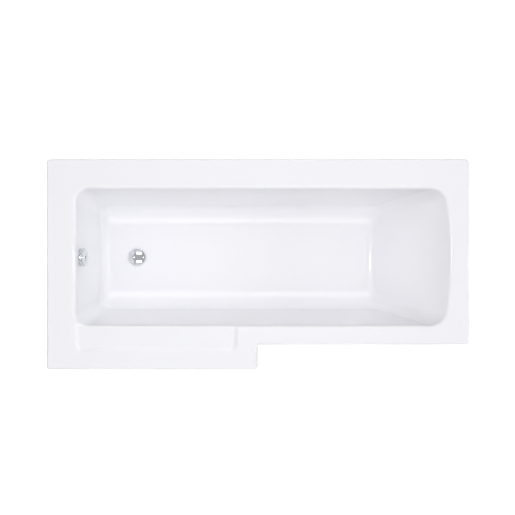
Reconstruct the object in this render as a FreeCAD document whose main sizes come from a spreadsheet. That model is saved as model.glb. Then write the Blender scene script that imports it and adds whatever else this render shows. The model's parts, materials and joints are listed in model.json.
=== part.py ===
import FreeCAD
import Part
import Sketcher
import math
import os
import re

from FreeCAD import Rotation, Vector

# L-shaped shower bath: a moulded acrylic shell on adjustable feet, with a pop-up waste and an overflow.
# The frame has +X from the foot (waste) end to the head end, +Y to the wall side and +Z up.
# The origin is on the floor under the middle of the bath's outline. Lengths are in millimetres.

SIZES = {
    # outline of the rim
    "bath_length": 1700,
    "shower_width": 850,
    "bath_width": 750,
    "shower_length": 850,
    "rim_height": 540,
    "floor_height": 140,
    "rim_corner": 14,
    "step_corner": 9,
    "rim_edge": 7,
    "lip_depth": 42,
    "lip_draft": 4,
    # layers of the moulding
    "acrylic": 5,
    "fibre": 3,
    "hole_margin": 1,
    "bond_gap": 0.3,
    # basin
    "foot_land": 118,
    "head_land": 74,
    "back_land": 122,
    "front_land": 78,
    "basin_depth": "=rim_height - floor_height",
    "foot_draft": 7,
    "side_draft": 9,
    "head_draft": 34,
    "foot_fillet": 45,
    "side_fillet": 92,
    "head_fillet": 60,
    "foot_corner": 52,
    "head_corner": 65,
    "floor_foot_corner": 48,
    "floor_head_corner": 45,
    "head_bow": 27,
    "floor_bow": 6,
    "edge_roll": 15,
    # shelf beside the basin
    "shelf_depth": 7,
    "shelf_slope": 36,
    "shelf_blend": 16,
    "shelf_corner": 26,
    "shelf_end_land": 82,
    "shelf_bed": 3,
    # timber under the moulding
    "board": 18,
    "board_inset": 9,
    "board_corner": 20,
    "board_notch": 124,
    "board_notch_corner": 43,
    "board_hole_play": 2,
    "batten_width": 40,
    "batten_thickness": 18,
    "batten_margin": 3,
    # steel cradle
    "rail_from_waste": 153,
    "rail_from_board_end": 85,
    "rail_width": 40,
    "rail_height": 25,
    "rail_overhang": 30,
    "centre_rail_length": 110,
    "centre_screw_place": 44,
    "rail_hole_play": 0.5,
    "sheet_steel": 2,
    "bend": 2,
    "cut_edge": 0.3,
    "foot_spread": 520,
    "stud_radius": 6,
    "stud_play": 0.05,
    "stud_rise": 34,
    "centre_stud_rise": 1,
    "nut_radius": 10.5,
    "nut_height": 9,
    "pad_radius": 26,
    "pad_height": 16,
    "pad_socket": 11,
    "pad_edge": 2,
    "pad_rim": 6.4,
    "pad_neck": 1.5,
    # screws in timber
    "screw_radius": 2,
    "screw_head": 4.2,
    "screw_head_height": 2.6,
    "screw_edge": 1,
    "screw_length": 15,
    "screw_play": 0.1,
    "screw_pitch": 50,
    # brackets that hold the bath to the wall
    "bracket_spacing": 1000,
    "bracket_width": 40,
    "bracket_reach": 55,
    "bracket_drop": 76,
    "bracket_step": 16.5,
    "bracket_step_drop": 28,
    "bracket_screw_place": 41,
    "bracket_screw_spread": 20,
    "wall_hole_drop": 57,
    "wall_hole": 3.5,
    # waste in the floor
    "waste_from_foot": 199,
    "waste_hole": 27,
    "dish_radius": 40,
    "dish_edge": 5,
    "dish_depth": 2,
    "flange_radius": 34,
    "flange_thickness": 2,
    "flange_edge": 1,
    "top_seal": 1,
    "spigot_wall": 4,
    "spigot_length": 24,
    "hub_depth": 4,
    "arm_width": 3,
    "waste_hole_play": 1.5,
    "seat_land": 0.5,
    "thread_play": 0.1,
    "bottom_seal": 3,
    "collar_radius": 38,
    "collar_thickness": 4,
    "waste_wall": 4.4,
    "waste_edge": 2,
    "waste_depth": 65,
    "tail_radius": 23.9,
    "tail_wall": 3.5,
    "tail_length": 33,
    # plug and its lift
    "cap_radius": 36.5,
    "cap_edge": 1.8,
    "cap_rise": 8.3,
    "cap_round": 1.2,
    "cap_gap": 0.6,
    "seat_gap": 0.3,
    "plug_seal": 3,
    "stem_radius": 3,
    "stem_play": 0.04,
    "stem_collar": 1.5,
    "plug_lift": 12,
    "lever_swing": 33,
    "lever_level": 42,
    "inlet_drop": 3,
    "lever_tip": 3,
    "lever_thickness": 4.2,
    "lever_gap": 0.3,
    "shaft_radius": 3.5,
    "shaft_play": 0.06,
    "press_play": 0.02,
    "crank_arm": 14,
    "crank_eye": 4,
    "drum_radius": 22,
    "drum_depth": 11,
    "drum_out": 33,
    "casing": 1.5,
    "lever_width": 8,
    # overflow on the foot wall
    "overflow_drop": 62,
    "overflow_hole": 27,
    "overflow_gasket": 3,
    "cup_radius": 30,
    "cup_wall": 4,
    "cup_depth": 41,
    "cup_edge": 2,
    "rosette_radius": 37,
    "rosette_thickness": 5,
    "rosette_gap": 0.1,
    "rosette_edge": 1.5,
    "rosette_play": 0.6,
    "water_hole": 5,
    "knob_radius": 36,
    "knob_gap": 1.5,
    "knob_depth": 18.5,
    "knob_crown": 3,
    "knob_round": 1.5,
    "knob_wall": 3,
    "knob_hub": 8.8,
    "knob_socket": 13,
    "scallop_radius": 16,
    "scallop_depth": 6,
    "scallop_start": 5.5,
    "spindle_radius": 4,
    "spindle_play": 0.06,
    "crank_radius": 15,
    "crank_thickness": 6,
    "crank_gap": 3,
    "overflow_screw_place": 20,
    "overflow_screw": 2.5,
    "overflow_head": 4.7,
    "overflow_head_height": 2.2,
    "overflow_head_edge": 0.9,
    # overflow pipe and the guide tube of the pull wire
    "pipe_radius": 16,
    "pipe_wall": 2,
    "pipe_play": 0.15,
    "pipe_bend": 60,
    "socket_wall": 2.4,
    "socket_depth": 14,
    "socket_reach": 50,
    "socket_rise": 0.8,
    "socket_out": 52,
    "pipe_nut_wall": 4.4,
    "pipe_seal": 3,
    "guide_radius": 2.5,
    "guide_place": 12,
    "guide_play": 0.1,
    "guide_drop_bend": 40,
    "guide_bend": 70,
    "guide_turn_start": 105,
    "guide_turn_end": 55,
    "clip_width": 10,
    "clip_wall": 2.4,
    "clip_start": 76,
    "clip_end": 6,
}

FOOT_END = "(-bath_length / 2)"
HEAD_END = "(bath_length / 2)"
BACK = "(shower_width / 2)"
FRONT = "(shower_width / 2 - bath_width)"
SHOWER_FRONT = "(-shower_width / 2)"
STEP = "(shower_length - bath_length / 2)"
FLOOR = "floor_height"
BASIN_FOOT = f"({FOOT_END} + foot_land)"
BASIN_HEAD = f"({HEAD_END} - head_land)"
BASIN_BACK = f"({BACK} - back_land)"
BASIN_FRONT = f"({FRONT} + front_land)"
CENTRE = f"(({BASIN_BACK} + {BASIN_FRONT}) / 2)"
SKIN = "(acrylic + bond_gap + fibre)"
UNDERSIDE = f"({FLOOR} - {SKIN})"
BOARD_UNDER = f"({UNDERSIDE} - bond_gap - board)"
RIM_UNDER = "(rim_height - acrylic)"
SHELF_UNDER = "(rim_height - shelf_depth - acrylic)"

# how far a cut runs past the solid it cuts, and how near two heights are that count as one
PAST = "1"
NEAR = 0.01

doc = FreeCAD.newDocument("shower_bath")
sheet = doc.addObject("Spreadsheet::Sheet", "Sizes")
for line, (alias, content) in enumerate(SIZES.items(), start=1):
    sheet.set(f"A{line}", alias)
    sheet.set(f"B{line}", str(content))
    sheet.setAlias(f"B{line}", alias)
doc.recompute()
subparts = []

# how a cylinder, which stands along Z, is laid along another axis
ALONG = {"X": Rotation(Vector(0, 1, 0), 90), "Y": Rotation(Vector(1, 0, 0), -90), "Z": Rotation()}


def bound(formula):
    """The formula with each size's name pointing at its cell."""

    def cell(match):
        return f"Sizes.{match.group()}" if match.group() in SIZES else match.group()

    return re.sub(r"[a-z][a-z0-9_]*", cell, formula)


def value(formula):
    """What the formula comes to with the sheet's sizes."""
    return float(sheet.evalExpression(bound(formula)))


def bind(piece, **formulas):
    """Ties properties of an object to formulas over the sheet; a double underscore stands for a dot."""
    for name, formula in formulas.items():
        piece.setExpression(name.replace("__", "."), bound(formula))
    return piece


def place(piece, x="0", y="0", z="0", tilt=None):
    """Puts a piece at a point, turned about its own Y axis by tilt degrees."""
    if tilt:
        piece.Placement.Rotation = Rotation(Vector(0, 1, 0), value(tilt))
        bind(piece, Placement__Rotation__Angle=tilt)
    return bind(piece, Placement__Base__x=x, Placement__Base__y=y, Placement__Base__z=z)


def subpart(piece, label):
    """Names an object as a finished piece of the bath."""
    piece.Label = label
    subparts.append(piece)
    return piece


def new_body(name):
    return doc.addObject("PartDesign::Body", name)


def sketch_on(body, name, plane, height="0"):
    """An empty sketch on one of the body's own planes, at a height above it."""
    sketch = body.newObject("Sketcher::SketchObject", name)
    support = [f for f in body.Origin.OriginFeatures if f.Role == plane][0]
    sketch.AttachmentSupport = [(support, "")]
    sketch.MapMode = "FlatFace"
    return bind(sketch, AttachmentOffset__Base__z=height)


def fix(sketch, kind, name, formula, *where):
    """A dimension of a sketch, tied to a formula; zero places a point on the sketch's axis instead."""
    if formula == "0":
        axis = -2 if kind == "DistanceX" else -1
        sketch.addConstraint(Sketcher.Constraint("PointOnObject", *where[-2:], axis))
        return
    row = sketch.addConstraint(Sketcher.Constraint(kind, *where, value(formula)))
    sketch.renameConstraint(row, name)
    bind(sketch, **{f"Constraints__{name}": formula})


def arc(centre, radius, start, end):
    """A counter-clockwise arc in the sketch's plane, between two angles in radians."""
    return Part.ArcOfCircle(Part.Circle(centre, Vector(0, 0, 1), radius), start, end)


def angular_outline(body, name, height, sides, radii, plane="XY_Plane"):
    """A sketch of straight sides, in turn upright and level, counter-clockwise, each at its place.
    radii[i] rounds the corner between side i and the next one."""
    sketch = sketch_on(body, name, plane, height)
    count = len(sides)
    places = [value(s) for s in sides]
    corners = []
    for i in range(count):
        first, second = places[i], places[(i + 1) % count]
        corners.append(Vector(first, second, 0) if i % 2 == 0 else Vector(second, first, 0))
    ways = [(corners[i] - corners[i - 1]).normalize() for i in range(count)]
    for i in range(count):
        before, after = value(radii[i - 1]), value(radii[i])
        start, end = corners[i - 1] + ways[i] * before, corners[i] - ways[i] * after
        sketch.addGeometry(Part.LineSegment(start, end))
        sketch.addConstraint(Sketcher.Constraint("Vertical" if i % 2 == 0 else "Horizontal", i))
        fix(sketch, "DistanceX" if i % 2 == 0 else "DistanceY", f"side{i}", sides[i], -1, 1, i, 1)
    for i in range(count):
        after = (i + 1) % count
        radius = value(radii[i])
        centre = corners[i] - ways[i] * radius + ways[after] * radius
        convex = ways[i].cross(ways[after]).z > 0
        outward = -ways[after] if convex else ways[i]
        start = math.atan2(outward.y, outward.x)
        curve = sketch.addGeometry(arc(centre, radius, start, start + math.pi / 2))
        first, last = (1, 2) if convex else (2, 1)
        sketch.addConstraint(Sketcher.Constraint("Tangent", i, 2, curve, first))
        sketch.addConstraint(Sketcher.Constraint("Tangent", after, 1, curve, last))
        fix(sketch, "Radius", f"corner{i}", radii[i], curve)
    return sketch


def turned(body, name, points, cut=False):
    """Turns a closed outline about the body's Z axis. Each point is a radius and a height. A third value
    makes the stretch to the next point an arc of that radius; the fourth is its centre's side."""
    sketch = sketch_on(body, name + "_outline", "XZ_Plane")
    spots = [Vector(value(p[0]), value(p[1]), 0) for p in points]
    ends = []
    for i, point in enumerate(points):
        start, end = spots[i], spots[(i + 1) % len(spots)]
        if len(point) < 3:
            ends.append((sketch.addGeometry(Part.LineSegment(start, end)), 1, 2))
            continue
        left, radius = point[3] == "left", value(point[2])
        half = (end - start) * 0.5
        sideways = Vector(-half.y, half.x, 0).normalize() * math.sqrt(radius**2 - half.Length**2)
        centre = start + half + (sideways if left else -sideways)
        first, last = (start - centre, end - centre) if left else (end - centre, start - centre)
        from_angle = math.atan2(first.y, first.x)
        turn = (math.atan2(last.y, last.x) - from_angle) % (2 * math.pi)
        row = sketch.addGeometry(arc(centre, radius, from_angle, from_angle + turn))
        ends.append((row, 1, 2) if left else (row, 2, 1))
        fix(sketch, "Radius", f"bulge{i}", point[2], row)
    for i, (row, start, end) in enumerate(ends):
        after = ends[(i + 1) % len(ends)]
        sketch.addConstraint(Sketcher.Constraint("Coincident", row, end, after[0], after[1]))
        fix(sketch, "DistanceX", f"radius{i}", points[i][0], -1, 1, row, start)
        fix(sketch, "DistanceY", f"height{i}", points[i][1], -1, 1, row, start)
    feature = body.newObject("PartDesign::Groove" if cut else "PartDesign::Revolution", name)
    feature.Profile = sketch
    feature.ReferenceAxis = (sketch, ["V_Axis"])
    feature.Angle = 360
    doc.recompute()
    return feature


def primitive(body, kind, name, at, turn, cut, **sizes):
    feature = body.newObject(f"PartDesign::{'Subtractive' if cut else 'Additive'}{kind}", name)
    feature.Placement.Rotation = turn
    bind(feature, Placement__Base__x=at[0], Placement__Base__y=at[1], Placement__Base__z=at[2], **sizes)
    doc.recompute()
    return feature


def rod(body, name, radius, at, length, axis="Z", cut=False):
    """A round bar, or a hole, from a point along an axis."""
    return primitive(body, "Cylinder", name, at, ALONG[axis], cut, Radius=radius, Height=length)


def hole(body, name, radius, at, length, axis="Z"):
    return rod(body, name, radius, at, length, axis, cut=True)


def block(body, name, x, y, z, cut=False):
    """A box between two places on each axis."""
    sizes = {}
    for side, (low, high) in zip(("Length", "Width", "Height"), (x, y, z)):
        sizes[side] = f"({high}) - ({low})"
    return primitive(body, "Box", name, (x[0], y[0], z[0]), Rotation(), cut, **sizes)


def pad(body, name, sketch, length, taper="0", both_ways=False):
    add = body.newObject("PartDesign::Pad", name)
    add.Profile = sketch
    add.Midplane = both_ways
    bind(add, Length=length)
    if taper != "0":
        bind(add, TaperAngle=taper)
    doc.recompute()
    return add


def pocket(body, name, sketch, depth, taper="0", upwards=False):
    cut = body.newObject("PartDesign::Pocket", name)
    cut.Profile = sketch
    cut.Reversed = upwards
    bind(cut, Length=depth)
    if taper != "0":
        bind(cut, TaperAngle=taper)
    doc.recompute()
    return cut


def group(label, pieces):
    """Separate solids of one kind that share a name."""
    joined = doc.addObject("Part::Compound", label)
    joined.Links = pieces
    doc.recompute()
    return subpart(joined, label)


def edges_where(feature, test):
    """Names of the feature's edges that pass a test on the edge and the faces beside it."""
    shape = feature.Shape
    numbered = enumerate(shape.Edges, start=1)
    return [f"Edge{i}" for i, edge in numbered if test(edge, shape.ancestorsOfType(edge, Part.Face))]


def middle(edge):
    return edge.valueAt((edge.FirstParameter + edge.LastParameter) / 2)


def is_ring(edge, height):
    """Whether an edge lies level at a height."""
    box = edge.BoundBox
    return box.ZLength < NEAR and abs(box.ZMin - height) < NEAR


def facing(face, point):
    """Which way a face looks, at the point of it nearest to the one given."""
    return face.normalAt(*face.Surface.parameter(point))


def rounded(body, name, feature, edges, radius):
    """A fillet on the named edges of a feature."""
    fillet = body.newObject("PartDesign::Fillet", name)
    fillet.Base = (feature, edges)
    bind(fillet, Radius=radius)
    doc.recompute()
    return fillet


# The moulding


def side_inset(draft, fillet, height, offset):
    """How far inside the rim's line a wall stands at a height over the floor, if moved outwards by offset."""
    wall = f"((basin_depth - ({height})) * tan({draft}) - ({offset}) / cos({draft}))"
    bend = f"({floor_inset(draft, fillet)}"
    bend += f" - sqrt(max(({fillet} + {offset})^2 - ({fillet} - ({height}))^2; 0)))"
    return f"(({height}) > {fillet} - ({fillet} + {offset}) * sin({draft}) ? {wall} : {bend})"


def floor_inset(draft, fillet):
    """How far inside the rim's line the flat floor begins."""
    return f"((basin_depth - {fillet}) * tan({draft}) + {fillet} / cos({draft}))"


def basin_outline(body, name, height, offset):
    """The basin's outline at a height over its floor: straight foot and sides, bowed head, round corners."""
    level = f"(({height}) / basin_depth)"
    foot = f"{BASIN_FOOT} + {side_inset('foot_draft', 'foot_fillet', height, offset)}"
    back = f"{BASIN_BACK} - {side_inset('side_draft', 'side_fillet', height, offset)}"
    front = f"{BASIN_FRONT} + {side_inset('side_draft', 'side_fillet', height, offset)}"
    head = f"{BASIN_HEAD} - {side_inset('head_draft', 'head_fillet', height, offset)}"
    foot_radius = f"floor_foot_corner + (foot_corner - floor_foot_corner) * {level} + {offset}"
    head_radius = f"floor_head_corner + (head_corner - floor_head_corner) * {level} + {offset}"
    rise = f"(floor_bow + (head_bow - floor_bow) * {level})"
    half = f"(({BASIN_BACK} - {BASIN_FRONT}) / 2)"
    bow = f"({half}^2 + {rise}^2) / (2 * {rise})"
    x0, x1, y0, y1 = value(foot), value(head), value(front), value(back)
    rf, rh, rb, yc = value(foot_radius), value(head_radius), value(bow), value(CENTRE)
    bow_centre = Vector(x1 - rb, yc, 0)
    corner_x = bow_centre.x + math.sqrt((rb - rh) ** 2 - (y1 - rh - yc) ** 2)
    turn = math.atan2(y1 - rh - yc, corner_x - bow_centre.x)
    sketch = sketch_on(body, name, "XY_Plane", f"{FLOOR} + {height}")
    sketch.addGeometry(
        [
            Part.LineSegment(Vector(x0, y1 - rf, 0), Vector(x0, y0 + rf, 0)),
            arc(Vector(x0 + rf, y0 + rf, 0), rf, math.pi, 1.5 * math.pi),
            Part.LineSegment(Vector(x0 + rf, y0, 0), Vector(corner_x, y0, 0)),
            arc(Vector(corner_x, y0 + rh, 0), rh, -math.pi / 2, -turn),
            arc(bow_centre, rb, -turn, turn),
            arc(Vector(corner_x, y1 - rh, 0), rh, turn, math.pi / 2),
            Part.LineSegment(Vector(corner_x, y1, 0), Vector(x0 + rf, y1, 0)),
            arc(Vector(x0 + rf, y1 - rf, 0), rf, math.pi / 2, math.pi),
        ]
    )
    for i in range(8):
        sketch.addConstraint(Sketcher.Constraint("Tangent", i, 2, (i + 1) % 8, 1))
    sketch.addConstraint(Sketcher.Constraint("Vertical", 0))
    sketch.addConstraint(Sketcher.Constraint("Horizontal", 2))
    sketch.addConstraint(Sketcher.Constraint("Horizontal", 6))
    fix(sketch, "DistanceX", "foot", foot, -1, 1, 0, 1)
    fix(sketch, "DistanceY", "front", front, -1, 1, 2, 1)
    fix(sketch, "DistanceY", "back", back, -1, 1, 6, 1)
    for i, radius in ((1, foot_radius), (7, foot_radius), (3, head_radius), (5, head_radius), (4, bow)):
        fix(sketch, "Radius", f"radius{i}", radius, i)
    fix(sketch, "DistanceX", "bow_x", f"{head} - {bow}", -1, 1, 4, 3)
    fix(sketch, "DistanceY", "bow_y", CENTRE, -1, 1, 4, 3)
    return sketch


def basin_loft(body, kind, name, offset, top):
    """The basin's form, moved outwards by offset: smooth bends round its floor, then straight walls."""
    bend_angles = (0, 11, 22, 34, 47, 60, 71)
    levels = [f"(side_fillet - (side_fillet + {offset}) * cos({a}))" for a in bend_angles]
    levels.append(f"(side_fillet - (side_fillet + {offset}) * sin(side_draft))")
    bends = [basin_outline(body, f"{name}_bend{i}", level, offset) for i, level in enumerate(levels)]
    walls = [bends[-1], basin_outline(body, f"{name}_top", top, offset)]
    for part, profiles in (("_bends", bends), ("_walls", walls)):
        loft = body.newObject(f"PartDesign::{kind}", name + part)
        loft.Profile = profiles[0]
        loft.Sections = profiles[1:]
        loft.Ruled = profiles is walls
        doc.recompute()
    return loft


def rim_sides(inset):
    """The six sides of the rim's L-shaped outline, moved inwards, in order for angular_outline."""
    return [
        f"{FOOT_END} + {inset}",
        f"{SHOWER_FRONT} + {inset}",
        f"{STEP} - {inset}",
        f"{FRONT} + {inset}",
        f"{HEAD_END} - {inset}",
        f"{BACK} - {inset}",
    ]


def rim_radii(inset):
    """Corner radii of the rim's outline; the third corner is the inner one of the L."""
    outer = f"rim_corner - {inset}"
    return [outer, outer, f"step_corner + {inset}", outer, outer, outer]


def shelf_sides(outset):
    """The sides of the shelf's outline, moved outwards; its back side lies inside the basin."""
    return [
        f"{BASIN_FOOT} - {outset}",
        f"{SHOWER_FRONT} + front_land - {outset}",
        f"{STEP} - shelf_end_land + {outset}",
        f"{BASIN_FRONT} + 2 * shelf_corner + {outset}",
    ]


def bath_shell():
    body = new_body("Shell")
    lip_bottom = "rim_height - lip_depth"
    outline = angular_outline(body, "RimOutline", lip_bottom, rim_sides("0"), rim_radii("0"))
    pad(body, "Slab", outline, "lip_depth", "-lip_draft")
    outline = angular_outline(body, "UnderOutline", lip_bottom, rim_sides("acrylic"), rim_radii("acrylic"))
    pocket(body, "Underside", outline, "lip_depth - acrylic", "-lip_draft", upwards=True)
    bed_corners = ["shelf_corner + shelf_bed"] * 4
    outline = angular_outline(body, "ShelfBedOutline", SHELF_UNDER, shelf_sides("shelf_bed"), bed_corners)
    pad(body, "ShelfBed", outline, "shelf_depth + acrylic / 2")
    basin_loft(body, "AdditiveLoft", "Tub", "acrylic", "basin_depth - acrylic / 2")

    # the shelf is a shallow pocket with sloping sides, blended into the rim; its back goes with the basin
    outline = angular_outline(body, "ShelfOutline", "rim_height", shelf_sides("0"), ["shelf_corner"] * 4)
    shelf = pocket(body, "Shelf", outline, "shelf_depth", "-(90 - shelf_slope)")
    top, low = value("rim_height"), value("rim_height - shelf_depth")
    west, south, east, north = [value(s) for s in shelf_sides("shelf_bed")]

    def on_shelf(edge, faces):
        box = edge.BoundBox
        level = box.ZLength < NEAR and (abs(box.ZMin - top) < NEAR or abs(box.ZMax - low) < NEAR)
        return level and west < box.XMin and box.XMax < east and south < box.YMin and box.YMax < north

    rounded(body, "ShelfBlend", shelf, edges_where(shelf, on_shelf), "shelf_blend")
    basin = basin_loft(body, "SubtractiveLoft", "Basin", "0", "basin_depth + edge_roll")

    under_shelf, half_way = value(SHELF_UNDER), value(f"{FLOOR} + basin_depth / 2")

    def on_basin(edge, faces):
        walls = [f for f in faces if f.BoundBox.ZMin < half_way]
        tops = [f for f in faces if f.BoundBox.ZMin > under_shelf + NEAR]
        if len(walls) != 1 or len(tops) != 1:
            return False
        return facing(tops[0], middle(edge)).z > abs(facing(walls[0], middle(edge)).z)

    roll = rounded(body, "EdgeRoll", basin, edges_where(basin, on_basin), "edge_roll")
    lip = value(lip_bottom)

    def on_rim(edge, faces):
        box = edge.BoundBox
        beside_lip = any(abs(f.BoundBox.ZMin - lip) < NEAR for f in faces)
        return beside_lip and box.ZLength < NEAR and abs(box.ZMin - top) < NEAR

    rounded(body, "RimEdge", roll, edges_where(roll, on_rim), "rim_edge")
    waste_point = (WASTE_X, CENTRE, f"{UNDERSIDE} - acrylic")
    hole(body, "WasteHole", "waste_hole", waste_point, f"{SKIN} + 2 * acrylic")
    cone = body.newObject("PartDesign::SubtractiveCone", "WasteDish")
    bind(
        cone,
        Radius1="dish_radius",
        Radius2="dish_radius + dish_edge",
        Height="dish_depth",
        Placement__Base__x=WASTE_X,
        Placement__Base__y=CENTRE,
        Placement__Base__z=f"{FLOOR} - dish_depth",
    )
    overflow_opening(body, "overflow_hole")
    return subpart(body, "bath_shell")


def overflow_opening(body, radius):
    """The overflow's hole through the foot wall, square to it."""
    opening = hole(body, "OverflowHole", radius, on_wall("0", "0", "-4 * acrylic"), "6 * acrylic")
    opening.Placement.Rotation = Rotation(Vector(0, 1, 0), value("90 - foot_draft"))
    bind(opening, Placement__Rotation__Angle="90 - foot_draft")
    doc.recompute()


def glass_fibre_backing():
    body = new_body("Backing")
    top = "basin_depth - shelf_depth - acrylic - bond_gap"
    basin_loft(body, "AdditiveLoft", "Outside", SKIN, top)
    basin_loft(body, "SubtractiveLoft", "Inside", "(acrylic + bond_gap)", f"{top} + edge_roll")
    start = (WASTE_X, CENTRE, f"{UNDERSIDE} - fibre")
    hole(body, "WasteHole", "waste_hole + hole_margin", start, "3 * fibre")
    overflow_opening(body, "overflow_hole + hole_margin")
    return subpart(body, "glass_fibre_backing")


# Timber and steel under the moulding

FLAT_FOOT = f"({BASIN_FOOT} + {floor_inset('foot_draft', 'foot_fillet')})"
FLAT_HEAD = f"({BASIN_HEAD} - {floor_inset('head_draft', 'head_fillet')})"
FLAT_BACK = f"({BASIN_BACK} - {floor_inset('side_draft', 'side_fillet')})"
FLAT_FRONT = f"({BASIN_FRONT} + {floor_inset('side_draft', 'side_fillet')})"
WASTE_X = f"({BASIN_FOOT} + waste_from_foot)"
RAIL_FOOT = f"({WASTE_X} + rail_from_waste)"
RAIL_HEAD = f"({FLAT_HEAD} - board_inset - rail_from_board_end)"
MIDDLE = f"(({RAIL_FOOT} + {RAIL_HEAD}) / 2)"
FOOT_BACK = f"({CENTRE} + foot_spread / 2)"
FOOT_FRONT = f"({CENTRE} - foot_spread / 2)"
FEET = [
    (RAIL_FOOT, FOOT_FRONT),
    (RAIL_FOOT, FOOT_BACK),
    (RAIL_HEAD, FOOT_FRONT),
    (RAIL_HEAD, FOOT_BACK),
    (MIDDLE, CENTRE),
]
RAIL_SCREWS = [(x, f"{CENTRE} + {k} * screw_pitch") for x in (RAIL_FOOT, RAIL_HEAD) for k in (-2, -1, 1, 2)]
RAIL_SCREWS += [(MIDDLE, f"{CENTRE} + {k} * centre_screw_place") for k in (-1, 1)]
BATTEN_UNDER = f"({RIM_UNDER} - batten_thickness)"
LIP_INSIDE = "(acrylic + (lip_depth - acrylic) * tan(lip_draft) + batten_margin)"
BRACKETS = ["(-bracket_spacing / 2)", "(bracket_spacing / 2)"]
BRACKET_SCREWS = [
    (f"{x} + {k} * bracket_screw_spread / 2", f"{BACK} - bracket_screw_place")
    for x in BRACKETS
    for k in (-1, 1)
]


def screw(name, at):
    """A pan-head wood screw that points up, with the underside of its head at a point."""
    body = new_body(name)
    turned(
        body,
        name + "_turned",
        [
            ("0", "-screw_head_height"),
            ("screw_head - screw_edge", "-screw_head_height"),
            ("screw_head", "screw_edge - screw_head_height"),
            ("screw_head", "0"),
            ("screw_radius", "0"),
            ("screw_radius", "screw_length - 2 * screw_radius"),
            ("0", "screw_length"),
        ],
    )
    return place(body, *at)


def baseboard():
    body = new_body("Baseboard")
    sides = [
        f"{FLAT_FOOT} + board_inset",
        f"{FLAT_FRONT} + board_inset",
        f"{FLAT_HEAD} - board_inset",
        f"{FLAT_BACK} - board_inset",
    ]
    outline = angular_outline(body, "BoardOutline", BOARD_UNDER, sides, ["board_corner"] * 4)
    pad(body, "Board", outline, "board")
    notch = [
        f"{FLAT_FOOT} - board_notch",
        f"{CENTRE} - board_notch / 2",
        f"{WASTE_X} + board_notch / 2",
        f"{CENTRE} + board_notch / 2",
    ]
    outline = angular_outline(body, "NotchOutline", UNDERSIDE, notch, ["board_notch_corner"] * 4)
    pocket(body, "WasteNotch", outline, "2 * board")
    hole(body, "StudHole", "stud_radius + board_hole_play", (MIDDLE, CENTRE, BOARD_UNDER), "board")
    for i, (x, y) in enumerate(RAIL_SCREWS):
        hole(body, f"Pilot{i}", "screw_radius + screw_play", (x, y, BOARD_UNDER), "screw_length")
    return subpart(body, "baseboard")


def batten(label, x, y):
    """A length of timber flat under the rim."""
    body = new_body(label)
    block(body, label + "_block", x, y, (BATTEN_UNDER, RIM_UNDER))
    return subpart(body, label)


def rim_battens():
    end = f"({LIP_INSIDE} + rim_corner)"
    inner = f"({LIP_INSIDE} + batten_width)"
    between = f"({inner} + batten_margin)"
    along_back = (f"{BACK} - {inner}", f"{BACK} - {LIP_INSIDE}")
    back = batten("rim_batten_back", (f"{FOOT_END} + {end}", f"{HEAD_END} - {end}"), along_back)
    for i, (x, y) in enumerate(BRACKET_SCREWS):
        hole(back, f"Pilot{i}", "screw_radius + screw_play", (x, y, BATTEN_UNDER), "screw_length")
    batten(
        "rim_batten_head",
        (f"{HEAD_END} - {inner}", f"{HEAD_END} - {LIP_INSIDE}"),
        (f"{FRONT} + {between}", f"{BACK} - {between}"),
    )
    batten(
        "rim_batten_foot",
        (f"{FOOT_END} + {LIP_INSIDE}", f"{FOOT_END} + {inner}"),
        (f"{SHOWER_FRONT} + {between}", f"{BACK} - {between}"),
    )
    batten(
        "rim_batten_front",
        (f"{STEP} + {end}", f"{HEAD_END} - {end}"),
        (f"{FRONT} + {LIP_INSIDE}", f"{FRONT} + {inner}"),
    )
    batten(
        "rim_batten_shower_front",
        (f"{FOOT_END} + {end}", f"{STEP} - {end}"),
        (f"{SHOWER_FRONT} + {LIP_INSIDE}", f"{SHOWER_FRONT} + {inner}"),
    )


def channel(label, x, length):
    """A bent steel channel, open below, across the baseboard's underside."""
    body = new_body(label)
    half, web, down = "rail_width / 2", "-sheet_steel", "-rail_height"
    sides = [f"-{half}", down, f"sheet_steel - {half}", web, f"{half} - sheet_steel", down, half, "0"]
    outer = "bend + sheet_steel"
    radii = ["cut_edge", "cut_edge", "bend", "bend", "cut_edge", "cut_edge", outer, outer]
    section = angular_outline(body, "Section", "0", sides, radii, "XZ_Plane")
    pad(body, "Profile", section, length, both_ways=True)
    for i, (foot_x, foot_y) in enumerate(FEET):
        if foot_x == x:
            at = ("0", f"{foot_y} - {CENTRE}", "-2 * sheet_steel")
            hole(body, f"StudHole{i}", "stud_radius + rail_hole_play", at, "3 * sheet_steel")
    for i, (screw_x, screw_y) in enumerate(RAIL_SCREWS):
        if screw_x == x:
            at = ("0", f"{screw_y} - {CENTRE}", "-2 * sheet_steel")
            hole(body, f"ScrewHole{i}", "screw_radius + screw_play", at, "3 * sheet_steel")
    return subpart(place(body, x, CENTRE, BOARD_UNDER), label)


def cradle():
    length = "foot_spread + 2 * rail_overhang"
    channel("cradle_rail_foot", RAIL_FOOT, length)
    channel("cradle_rail_head", RAIL_HEAD, length)
    channel("centre_foot_bracket", MIDDLE, "centre_rail_length")
    web = f"{BOARD_UNDER} - sheet_steel"
    group("cradle_screws", [screw(f"CradleScrew{i}", (x, y, web)) for i, (x, y) in enumerate(RAIL_SCREWS)])
    nuts = [hex_nut(f"WeldNut{i}", (x, y, f"{web} - nut_height")) for i, (x, y) in enumerate(FEET)]
    nuts += [hex_nut(f"LockNut{i}", (x, y, BOARD_UNDER)) for i, (x, y) in enumerate(FEET[:4])]
    group("rail_nuts", nuts)


def hex_nut(name, at):
    body = new_body(name)
    blank = primitive(body, "Prism", name + "_blank", ("0", "0", "0"), Rotation(), False)
    blank.Polygon = 6
    bind(blank, Circumradius="nut_radius", Height="nut_height")
    hole(body, name + "_bore", "stud_radius + stud_play", ("0", "0", f"-{PAST}"), f"nut_height + 2 * {PAST}")
    return place(body, *at)


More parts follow.
